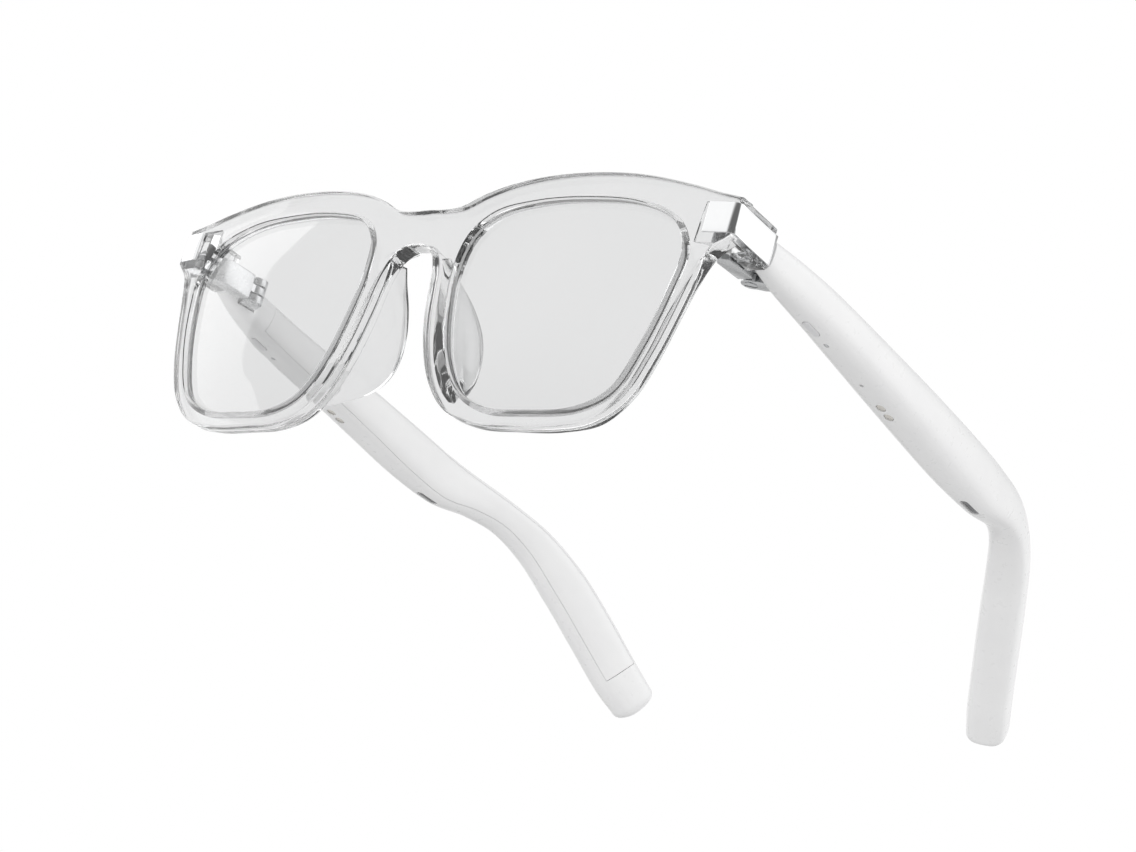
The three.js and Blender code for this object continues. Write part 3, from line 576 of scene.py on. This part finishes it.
def lens():
    """The lens: a domed plate with a bevelled edge in the rim's groove."""
    angles = np.linspace(0, 2 * math.pi, 240, endpoint=False)
    radius, _ = crossings(opening_loop, angles)
    rays = np.stack([np.cos(angles), np.sin(angles)], 1)

    def ring(share, out, depth):
        flat = LENS_MIDDLE + ((radius + out) * share)[:, None] * rays
        dome = -LENS_DOME * (1 - share * share)
        y = face_y(flat[:, 0], flat[:, 1]) + GROOVE_AT + depth + dome
        return np.column_stack([flat[:, 0], y, flat[:, 1]])

    shares = np.linspace(0.04, 0.96, 15)
    front = [ring(s, -LENS_GAP, -LENS_EDGE_HALF) for s in (*shares, 1)]
    edge = [
        ring(1, 0.01 - LENS_GAP, 0.02 - LENS_EDGE_HALF), ring(1, GROOVE_DEPTH - 0.2, -0.1),
        ring(1, GROOVE_DEPTH - 0.2, 0.1), ring(1, 0.01 - LENS_GAP, LENS_EDGE_HALF - 0.02),
    ]
    back = [ring(s, -LENS_GAP, LENS_EDGE_HALF) for s in (1, *shares[::-1])]
    obj = smoothed(loft("lens", front + edge + back), 25)
    ground = obj.data.attributes.new("ground_edge", "FLOAT", "POINT")
    ring_size = len(angles)
    at_edge = range(len(front) * ring_size, (len(front) + len(edge)) * ring_size)
    for k in at_edge:
        ground.data[k].value = 1.0
    return obj


# ---------------------------------------------------------------- the temple

TEMPLE_STEPS = 12
temple_line = catmull([t[:3] for t in TEMPLE], False, TEMPLE_STEPS)
temple_size = catmull([(*t[3:], 0) for t in TEMPLE], False, TEMPLE_STEPS)[:, :2]


def temple_place(y):
    """Centre, outward, along and up directions and half sizes of the temple at a depth y."""
    centre = np.array([np.interp(y, temple_line[:, 1], temple_line[:, k]) for k in range(3)])
    half = [np.interp(y, temple_line[:, 1], temple_size[:, k]) / 2 for k in range(2)]
    tangents = np.gradient(temple_line, axis=0)
    along = np.array([np.interp(y, temple_line[:, 1], tangents[:, k]) for k in range(3)])
    along /= np.linalg.norm(along)
    outward = np.cross(along, (0, 0, 1))
    outward /= np.linalg.norm(outward)
    return centre, outward, along, np.cross(outward, along), *half


def temple_section(place, scale=1.0, further=0.0, sides=72):
    """A rounded rectangle across the temple at a place, scaled and moved further along."""
    centre, outward, along, up, half_width, half_height = place
    angles = 2 * math.pi * (np.arange(sides) + 0.5) / sides
    c, s = np.cos(angles), np.sin(angles)
    u = half_width * scale * np.sign(c) * np.abs(c) ** (2 / SECTION_POWER)
    v = half_height * scale * np.sign(s) * np.abs(s) ** (2 / SECTION_POWER)
    return centre + u[:, None] * outward + v[:, None] * up + further * along


def temple_body():
    """The temple's outer form, from just before the seam to its round tip."""
    depths = temple_line[:, 1]
    last = temple_place(depths[-1])
    sections = [temple_section(temple_place(y)) for y in depths]
    for share in (0.15, 0.3, 0.45, 0.6, 0.72, 0.82, 0.9, 0.95, 0.98, 0.995):
        sections.append(temple_section(last, math.sqrt(1 - share ** 3), TIP_ROUND * share))
    return loft("temple", sections)


def band(span, steps, edges):
    """A band along the temple; edges gives its inner, outer, low and high sides at a place."""
    sections = []
    for y in np.linspace(*span, steps + 1):
        centre, outward, _, up, half_width, half_height = temple_place(y)
        inner, outer, low, high = edges(half_width, half_height)
        corners = ((inner, low), (outer, low), (outer, high), (inner, high))
        sections.append([centre + u * outward + v * up for u, v in corners])
    return loft("band", sections)


def cavity():
    """The hollow in the temple's front half."""
    return band(CAVITY_SPAN, 40, lambda w, h: (-w - 1, w - WALL, -h + WALL + 0.2, h - WALL - 0.2))


def cover_band(grow):
    """The space of the cover, larger all round by grow."""
    return band((COVER_SPAN[0] - grow, COVER_SPAN[1] + grow), 110, lambda w, h: (
        -w - 1, -w + COVER_THICK + grow,
        -h + COVER_MARGIN - grow, h - COVER_MARGIN + grow,
    ))


def in_temple(obj, y, u=0.0, v=0.0):
    """Puts an object made about the origin (x outward, y along, z up) into the temple."""
    centre, outward, along, up, _, _ = temple_place(y)
    turn = Matrix([outward, along, up]).transposed().to_4x4()
    turn.translation = Vector(centre + u * outward + v * up)
    obj.data.transform(turn)
    return obj


def under(obj, y, lift=0.0, u=0.0):
    """Puts an object on the underside of the temple."""
    return in_temple(obj, y, u, -temple_place(y)[5] + lift)


# depth, length and width of each opening
UNDERSIDE_OPENINGS = [
    (BUTTON_Y, 4.5, 1.8), (LIGHT_Y, 1.15, 1.05), (MICROPHONE_Y, 0.9, 0.85),
    (CONTACT_Y[0], 2.2, 1.8), (CONTACT_Y[1], 2.2, 1.8), (SPEAKER_Y, 6.0, 1.8),
]


def before_seam():
    """The room that the lug and the end plate take up in front of the temple."""
    front = SEAM_Y + SEAM_GAP
    return drooped(prism("space", [(60, 10), (80, 10), (80, front), (60, front)], 5, 22))


def temple_shell():
    """The white outer shell, hollow, open to the cover and cut clear of the hinge."""
    near, far = TEMPLE_LEAF_Y
    leaf_space = prism("space", [
        (60, 19.5), (66.5, 19.8), (69.8, near - 1.7), (69.8, near - 1), (70.5, far + 0.2),
        (68.9, far + 0.2), (68.4, near + 1.6), (60, near + 1.6),
    ], HINGE_Z[0] - 0.15, HINGE_Z[1] + 0.15)
    nose_room = prism("space", [(60, 15), (66.9, 15), (66.9, 21), (60, 21)], 5, 20)
    openings = [under(prism("hole", slot_outline(length, width), -1.5, 2.4), y)
                for y, length, width in UNDERSIDE_OPENINGS]
    body = bevelled(boolean(temple_body(), [before_seam()], "DIFFERENCE"), 0.25, 3, 50)
    tools = [cavity(), cover_band(COVER_GAP), leaf_space, nose_room, *openings]
    return smoothed(boolean(body, tools, "DIFFERENCE"), 30)


def temple_cover():
    """The band that closes the shell's inner side."""
    return smoothed(boolean(temple_body(), [cover_band(0)], "INTERSECT"), 30)


# ---------------------------------------------------------------- the hinge

MIDDLE_KNUCKLE_Z = (HINGE_Z[0] + KNUCKLE_HEIGHT + 0.3, HINGE_Z[1] - KNUCKLE_HEIGHT - 0.3)


def post(radius, low, high, sides=48):
    return prism("post", circle(HINGE[:2], radius, sides), low, high)


def front_leaf():
    """The leaf bedded in the lug, with the middle knuckle."""
    (left, right), (near, far) = FRONT_LEAF_X, FRONT_LEAF_Y
    block = prism("leaf", [
        (left + 1.2, near), (right, near + 1.2), (right, far), (left, far), (left, near + 2.0),
    ], *HINGE_Z)
    bevelled(block, 0.25, 4)
    neck = prism("neck", [
        (HINGE[0] - 1.2, far - 1), (HINGE[0] + 1.2, far - 1),
        (HINGE[0] + 1.2, HINGE[1]), (HINGE[0] - 1.2, HINGE[1]),
    ], *MIDDLE_KNUCKLE_Z)
    knuckle = bevelled(post(KNUCKLE_RADIUS, *MIDDLE_KNUCKLE_Z), 0.12)
    return smoothed(boolean(block, [neck, knuckle], "UNION"))


def temple_leaf():
    """The leaf that reaches into the temple, with the outer knuckles."""
    x, y = HINGE[:2]
    near, far = TEMPLE_LEAF_Y
    arm = prism("leaf", [
        (x, y - 1.2), (x + 2.2, y - 1.0), (69.6, near - 1.4), (69.6, near + 1.4),
        (x + 1.4, near + 0.6), (x, y + 1.9),
    ], *HINGE_Z)
    lower = post(KNUCKLE_RADIUS, HINGE_Z[0], HINGE_Z[0] + KNUCKLE_HEIGHT)
    upper = post(KNUCKLE_RADIUS, HINGE_Z[1] - KNUCKLE_HEIGHT, HINGE_Z[1])
    between = post(KNUCKLE_RADIUS + 0.5, HINGE_Z[0] + KNUCKLE_HEIGHT, HINGE_Z[1] - KNUCKLE_HEIGHT)
    boolean(arm, [lower, upper], "UNION")
    boolean(arm, [between], "DIFFERENCE")
    bevelled(arm, 0.2, 3)
    tongue = prism("tongue", [
        (68.4, near - 1), (69.6, near - 1), (70.3, far), (69.1, far),
    ], *TEMPLE_LEAF_Z)
    return smoothed(boolean(arm, [tongue], "UNION"))


def hinge_screw():
    """The slotted screw through the knuckles, its head below them."""
    low = HINGE_Z[0] - 0.3
    head = bevelled(post(1.25, low, HINGE_Z[0] + 0.3), 0.2)
    shank = post(0.6, low + 0.3, HINGE_Z[1] - 0.2, 24)
    drive = prism("drive", [(-2, -0.2), (2, -0.2), (2, 0.2), (-2, 0.2)], low - 0.4, low + 0.35)
    drive.data.transform(Matrix.Translation((HINGE[0], HINGE[1], 0)) @ Matrix.Rotation(0.5, 4, "Z"))
    return smoothed(boolean(boolean(head, [shank], "UNION"), [drive], "DIFFERENCE"))


def lug_rivet(z):
    """A rivet with a domed head inside the clear lug."""
    profile = [(0.75, -1.3), (0.75, 0.7), (1.0, 0.75), (1.05, 1.0), (0.85, 1.25), (0.45, 1.35)]
    angles = 2 * math.pi * np.arange(32) / 32
    sections = [
        [(LUG_INNER_X + 1.6 + along, RIVET_Y + r * math.cos(a), z + r * math.sin(a)) for a in angles]
        for r, along in profile
    ]
    return smoothed(loft("rivet", sections), 40)


# ---------------------------------------------------------------- small pieces in the temple


def plug(length, width, low, high, y, edge):
    """An oval piece in the temple's underside with rounded edges."""
    return smoothed(under(bevelled(prism("plug", slot_outline(length, width), low, high), edge), y))


SMALL_PIECES = {
    "button": lambda: plug(4.3, 1.6, -0.22, 1.5, BUTTON_Y, 0.22),
    "status_light": lambda: plug(1.0, 0.9, 0.03, 2.2, LIGHT_Y, 0.1),
    "charge_contact_front": lambda: plug(2.0, 1.6, 0.05, 1.7, CONTACT_Y[0], 0.12),
    "charge_contact_rear": lambda: plug(2.0, 1.6, 0.05, 1.7, CONTACT_Y[1], 0.12),
    "speaker_grille": lambda: plug(5.6, 1.4, 0.35, 0.85, SPEAKER_Y, 0.08),
}

# ---------------------------------------------------------------- materials


class Nodes:
    """A small helper for building a material's node tree."""

    def __init__(self, name):
        self.material = bpy.data.materials.new(name)
        self.material.use_nodes = True
        self.tree = self.material.node_tree
        self.shader = self.tree.nodes["Principled BSDF"]
        self.place = self.tree.nodes.new("ShaderNodeTexCoord").outputs["Object"]

    def set(self, **values):
        for name, value in values.items():
            self.shader.inputs[name.replace("_", " ")].default_value = value

    def link(self, source, name):
        self.tree.links.new(source, self.shader.inputs[name])

    def node(self, kind, **values):
        node = self.tree.nodes.new(kind)
        for name, value in values.items():
            if hasattr(node, name):
                setattr(node, name, value)
            else:
                node.inputs[name.replace("_", " ")].default_value = value
        return node

    def stretched(self, scale):
        mapping = self.node("ShaderNodeMapping")
        mapping.inputs["Scale"].default_value = scale
        self.tree.links.new(self.place, mapping.inputs["Vector"])
        return mapping.outputs["Vector"]

    def noise(self, scale, detail=3.0, vector=None):
        node = self.node("ShaderNodeTexNoise", Scale=scale, Detail=detail)
        self.tree.links.new(vector or self.place, node.inputs["Vector"])
        return node.outputs["Fac"]

    def ranged(self, source, low, high, start=0.3, end=0.7):
        node = self.node("ShaderNodeMapRange", From_Min=start, From_Max=end, To_Min=low, To_Max=high)
        self.tree.links.new(source, node.inputs["Value"])
        return node.outputs["Result"]

    def mixed(self, source, first, second):
        node = self.node("ShaderNodeMix", data_type="RGBA")
        self.tree.links.new(source, node.inputs["Factor"])
        node.inputs["A"].default_value = (*first, 1)
        node.inputs["B"].default_value = (*second, 1)
        return node.outputs["Result"]

    def bump(self, height, strength, distance):
        node = self.node("ShaderNodeBump", Strength=strength, Distance=distance)
        self.tree.links.new(height, node.inputs["Height"])
        self.link(node.outputs["Normal"], "Normal")
        return self


def moulded(name, light, dark, roughness, grain=9000, coat=0.0):
    """Moulded plastic: faint cloudiness, a fine grain and uneven gloss."""
    n = Nodes(name)
    n.link(n.mixed(n.ranged(n.noise(120), 0, 1), dark, light), "Base Color")
    n.link(n.ranged(n.noise(700, 5), roughness - 0.04, roughness + 0.05), "Roughness")
    n.set(Coat_Weight=coat, Coat_Roughness=0.12, IOR=1.49)
    return n.bump(n.noise(grain, 2), 0.06, 0.00002).material


def metal(name, light, dark, roughness, stretch=(1, 1, 1), grain=2500, strength=0.1):
    """Worked metal: fine lines along one way and uneven polish."""
    n = Nodes(name)
    lines = n.noise(grain, 4, n.stretched(stretch))
    n.link(n.mixed(n.ranged(lines, 0, 1), dark, light), "Base Color")
    n.link(n.ranged(n.noise(400, 4), roughness * 0.8, roughness * 1.25), "Roughness")
    n.set(Metallic=1.0)
    return n.bump(lines, strength, 0.00002).material


def clear_acetate():
    """Polished clear acetate: all but colourless, with a trace of haze and of hand polish."""
    n = Nodes("clear_acetate")
    cloud = n.ranged(n.noise(60), 0, 1)
    n.link(n.mixed(cloud, (0.85, 0.852, 0.855), (0.87, 0.872, 0.875)), "Base Color")
    n.link(n.ranged(n.noise(500, 4), 0.0, 0.018, 0.45, 0.8), "Roughness")
    n.set(Transmission_Weight=0.96, IOR=1.49)
    return n.bump(n.noise(90, 2), 0.02, 0.0001).material


def tinted_lens():
    """A light grey lens with a faint, slow change of tint, and a darker, matt ground edge."""
    n = Nodes("tinted_lens")
    tint = n.mixed(n.ranged(n.noise(25, 1), 0, 1), (0.805, 0.808, 0.81), (0.82, 0.822, 0.824))
    ground = n.node("ShaderNodeAttribute", attribute_name="ground_edge").outputs["Fac"]
    edge = n.node("ShaderNodeMix", data_type="RGBA")
    n.tree.links.new(ground, edge.inputs["Factor"])
    n.tree.links.new(tint, edge.inputs["A"])
    edge.inputs["B"].default_value = (0.42, 0.42, 0.42, 1)
    n.link(edge.outputs["Result"], "Base Color")
    gloss = n.node("ShaderNodeMath", operation="MAXIMUM")
    n.tree.links.new(n.ranged(n.noise(300, 4), 0.0, 0.01, 0.45, 0.8), gloss.inputs[0])
    n.tree.links.new(n.ranged(ground, 0, 0.3, 0, 1), gloss.inputs[1])
    n.link(gloss.outputs["Value"], "Roughness")
    n.set(Transmission_Weight=1.0, IOR=1.5)
    return n.material


def woven_mesh():
    """A fine steel mesh: rows of dark holes between bright wires."""
    n = Nodes("mesh_steel")
    cells = n.node("ShaderNodeTexVoronoi", Scale=3200.0, Randomness=0.0)
    n.tree.links.new(n.place, cells.inputs["Vector"])
    wire = n.ranged(cells.outputs["Distance"], 0, 1, 0.25, 0.4)
    n.link(n.mixed(wire, (0.02, 0.02, 0.02), (0.4, 0.4, 0.41)), "Base Color")
    n.link(n.ranged(n.noise(900), 0.3, 0.45), "Roughness")
    n.set(Metallic=0.9)
    return n.bump(wire, 0.5, 0.00005).material


def light_guide():
    """Milky plastic in front of the status light."""
    n = Nodes("light_guide")
    n.link(n.mixed(n.noise(800), (0.55, 0.56, 0.57), (0.66, 0.67, 0.68)), "Base Color")
    n.link(n.ranged(n.noise(500), 0.15, 0.25), "Roughness")
    n.set(Coat_Weight=0.4, IOR=1.5)
    return n.bump(n.noise(2000), 0.05, 0.00002).material


def circuit_board():
    """Solder mask over copper tracks that run across and along."""
    n = Nodes("board_green")
    tracks = n.node("ShaderNodeTexBrick", Scale=900.0, Mortar_Size=0.03)
    n.tree.links.new(n.place, tracks.inputs["Vector"])
    n.link(n.mixed(tracks.outputs["Fac"], (0.02, 0.14, 0.06), (0.05, 0.28, 0.13)), "Base Color")
    n.link(n.ranged(n.noise(600), 0.3, 0.45), "Roughness")
    return n.bump(tracks.outputs["Fac"], 0.2, 0.00003).material


def make_materials():
    return {
        "clear_acetate": clear_acetate(),
        "tinted_lens": tinted_lens(),
        "bright_plate": metal("bright_plate", (0.96, 0.965, 0.97), (0.94, 0.945, 0.95), 0.05,
                              grain=600, strength=0.01),
        "hinge_metal": metal("hinge_metal", (0.74, 0.745, 0.75), (0.62, 0.63, 0.64), 0.26,
                             stretch=(1, 0.15, 1), grain=9000, strength=0.08),
        "white_shell": moulded("white_shell", (0.93, 0.93, 0.93), (0.905, 0.905, 0.908), 0.3,
                               coat=0.25),
        "white_cover": moulded("white_cover", (0.925, 0.925, 0.925), (0.9, 0.9, 0.903), 0.34,
                               coat=0.15),
        "grey_button": moulded("grey_button", (0.8, 0.8, 0.81), (0.76, 0.76, 0.77), 0.35),
        "light_guide": light_guide(),
        "contact_gold": metal("contact_gold", (0.83, 0.81, 0.77), (0.74, 0.71, 0.66), 0.22,
                              grain=3000, strength=0.05),
        "mesh_steel": woven_mesh(),
        "magnet": metal("magnet", (0.6, 0.6, 0.61), (0.5, 0.5, 0.51), 0.3),
        "board_green": circuit_board(),
        "chip_black": moulded("chip_black", (0.05, 0.05, 0.055), (0.03, 0.03, 0.035), 0.45),
        "cell_foil": metal("cell_foil", (0.68, 0.7, 0.72), (0.55, 0.57, 0.6), 0.35,
                           grain=500, strength=0.3),
        "flex_amber": moulded("flex_amber", (0.62, 0.32, 0.1), (0.5, 0.24, 0.07), 0.3),
    }


materials = make_materials()

# ---------------------------------------------------------------- putting pieces in place

node_slot = {part["node"]: part["material_slot"] for part in frame["record"]["subparts"]}
node_body = {
    node: body
    for body, nodes in frame["record"]["behaviour"]["bodies"].items() for node in nodes
}


def installed(obj, name, nodes):
    """Puts a finished piece into the row frame, on the body and with the finish of its nodes."""
    obj.name = name
    obj.data.transform(ROW)
    obj.data.materials.clear()
    obj.data.materials.append(materials[node_slot[nodes[0]]])
    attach(obj, node_body[nodes[0]])
    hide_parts(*nodes)


def install_pair(obj, name, also=()):
    """A left piece and its mirror image, each standing for the nodes of its side."""
    twin = mirrored(obj, "twin")
    for side, piece in (("left", obj), ("right", twin)):
        nodes = [f"{side}_{node}" for node in (name, *also)]
        installed(piece, f"{side}_{name}_fine", nodes)


installed(clear_front(), "front_frame_fine", ["front_frame", "left_nose_pad", "right_nose_pad"])
PAIRS = {
    "lens": lens,
    "end_plate": end_plate,
    "front_hinge_leaf": front_leaf,
    "hinge_screw": hinge_screw,
    "upper_leaf_rivet": lambda: lug_rivet(RIVET_Z["upper"]),
    "lower_leaf_rivet": lambda: lug_rivet(RIVET_Z["lower"]),
    "temple_hinge_leaf": temple_leaf,
    "temple_shell": temple_shell,
    "temple_cover": temple_cover,
    **SMALL_PIECES,
}
for piece_name, make_piece in PAIRS.items():
    install_pair(make_piece(), piece_name)
for obj_name in ("left_end_plate_fine", "right_end_plate_fine"):
    smoothed(bpy.data.objects[obj_name], 50)

for node_name, node_object in frame["nodes"].items():
    node_object.data.materials.clear()
    node_object.data.materials.append(materials[node_slot[node_name]])

# ---------------------------------------------------------------- camera, floor and light

CAMERA_AIM = (23.596, 28.797, -14.196)     # mm, in the front's frame
CAMERA_AZIMUTH = math.radians(43.66)
CAMERA_ELEVATION = math.radians(-17.745)
CAMERA_ROLL = math.radians(16.047)
CAMERA_DISTANCE = 585.64                    # mm
CAMERA_LENS = 99.92
FLOOR_BELOW = 0.5                           # metres under the lowest point of the object
FLOOR_RADIUS = 1.3                          # metres
WORLD_LIGHT = 0.93
cad_middle = (cad_box[0] + cad_box[1]) / 2


def add_camera():
    """Adds the camera and returns the direction from the object towards it."""
    a, e = CAMERA_AZIMUTH, CAMERA_ELEVATION
    back = Vector((math.sin(a) * math.cos(e), -math.cos(a) * math.cos(e), math.sin(e)))
    right = (-back).cross(Vector((0, 0, 1))).normalized()
    up = right.cross(-back)
    rolled_right = math.cos(CAMERA_ROLL) * right + math.sin(CAMERA_ROLL) * up
    rolled_up = math.cos(CAMERA_ROLL) * up - math.sin(CAMERA_ROLL) * right
    turn = Matrix([rolled_right, rolled_up, back]).transposed()
    data = bpy.data.cameras.new("camera")
    data.lens = CAMERA_LENS
    data.sensor_width = 36
    data.clip_start, data.clip_end = 0.01, 20
    camera = bpy.data.objects.new("camera", data)
    place = Matrix.Translation(Vector(CAMERA_AIM) + back * CAMERA_DISTANCE) @ turn.to_4x4()
    camera.matrix_world = Matrix.LocRotScale(
        (ROW @ place).translation, (ROW.to_3x3().normalized() @ turn).to_quaternion(), None)
    bpy.context.scene.collection.objects.link(camera)
    bpy.context.scene.camera = camera
    return (ROW.to_3x3() @ back).normalized()


def add_floor():
    """A wide pale floor."""
    n = Nodes("floor")
    n.link(n.mixed(n.noise(6), (0.62, 0.62, 0.62), (0.64, 0.64, 0.64)), "Base Color")
    n.set(Roughness=0.9)
    low = cad_box[0].z - FLOOR_BELOW
    points = [(x, y, low) for x, y in circle((0, 0), FLOOR_RADIUS, 64)]
    mesh = bpy.data.meshes.new("floor")
    mesh.from_pydata(points, [], [tuple(range(len(points)))])
    mesh.materials.append(n.material)
    floor = bpy.data.objects.new("floor", mesh)
    bpy.context.scene.collection.objects.link(floor)


def add_world(towards_camera):
    """A pale studio, darker behind the camera, overhead and below, where edges turn grey."""
    world = bpy.data.worlds.new("studio")
    bpy.context.scene.world = world
    world.use_nodes = True
    tree = world.node_tree
    link = tree.links.new
    background = tree.nodes["Background"]
    place = tree.nodes.new("ShaderNodeTexCoord").outputs["Generated"]

    def towards(way, start, end, low, high):
        """From low to high as the cosine of the angle to a direction goes from start to end."""
        dot = tree.nodes.new("ShaderNodeVectorMath")
        dot.operation = "DOT_PRODUCT"
        dot.inputs[1].default_value = Vector(way).normalized()
        link(place, dot.inputs[0])
        ranged = tree.nodes.new("ShaderNodeMapRange")
        ranged.interpolation_type = "SMOOTHSTEP"
        limits = {"From Min": start, "From Max": end, "To Min": low, "To Max": high}
        for name, value in limits.items():
            ranged.inputs[name].default_value = value
        link(dot.outputs["Value"], ranged.inputs["Value"])
        return ranged.outputs["Result"]

    def combined(operation, first, second):
        node = tree.nodes.new("ShaderNodeMath")
        node.operation = operation
        link(first, node.inputs[0])
        link(second, node.inputs[1])
        return node.outputs["Value"]

    height = towards((0, 0, 1), -0.4, 0.25, 0.55, WORLD_LIGHT)
    bright = combined("MULTIPLY", height, towards((-0.475, -0.818, 0.305), 0.88, 0.98, 1.0, 1.08))
    behind_camera = towards((towards_camera.x, towards_camera.y, 0.15), 0.55, 0.92, 1.0, 0.15)
    overhead = towards((0.1, 0.6, 0.8), 0.8, 0.95, 1.0, 0.3)
    below = towards((0, 0, 1), -0.45, -0.12, 0.3, 1.0)
    shade = combined("MULTIPLY", combined("MULTIPLY", behind_camera, overhead), below)
    ray = tree.nodes.new("ShaderNodeLightPath").outputs
    lit = combined("MULTIPLY", bright, combined("MAXIMUM", shade, ray["Is Diffuse Ray"]))
    link(combined("MAXIMUM", lit, ray["Is Camera Ray"]), background.inputs["Strength"])
    background.inputs["Color"].default_value = (1, 1, 1, 1)


def add_softbox(name, way, across, size, radiance, distance=1.2):
    """A rectangular light around the object, seen along way, its width running along across."""
    width, height = size
    data = bpy.data.lights.new(name, "AREA")
    data.shape = "RECTANGLE"
    data.size, data.size_y = width, height
    data.energy = radiance * width * height * math.pi
    light = bpy.data.objects.new(name, data)
    z = Vector(way).normalized()
    x = (Vector(across) - Vector(across).dot(z) * z).normalized()
    turn = Matrix([x, z.cross(x), z]).transposed().to_4x4()
    turn.translation = cad_middle + z * distance
    light.matrix_world = turn
    bpy.context.scene.collection.objects.link(light)
    return light


camera_side = add_camera()
add_floor()
add_world(camera_side)
add_softbox("key", (0.9, 0.3, 0.6), (0, 1, 0), (1.4, 1.0), 0.5)
# the two cards light matt surfaces only and don't show in the lenses or the clear front
front_card = add_softbox("front_card", (-0.25, -0.92, -0.3), (1, 0, 0), (0.8, 0.8), 1.4)
side_card = add_softbox("side_card", (0.85, -0.45, -0.25), (0, 1, 0), (0.8, 0.8), 0.7)
for card in (front_card, side_card):
    card.visible_glossy = False
    card.visible_transmission = False
add_softbox("fill", (-0.891, -0.253, 0.379), (0.554, -0.785, 0.277), (0.58, 1.6), 0.8)

bpy.context.scene.view_settings.view_transform = "Standard"
bpy.context.scene.cycles.use_denoising = True
bpy.context.scene.cycles.transmission_bounces = 32
bpy.context.scene.cycles.max_bounces = 36
bpy.context.scene.cycles.transparent_max_bounces = 16
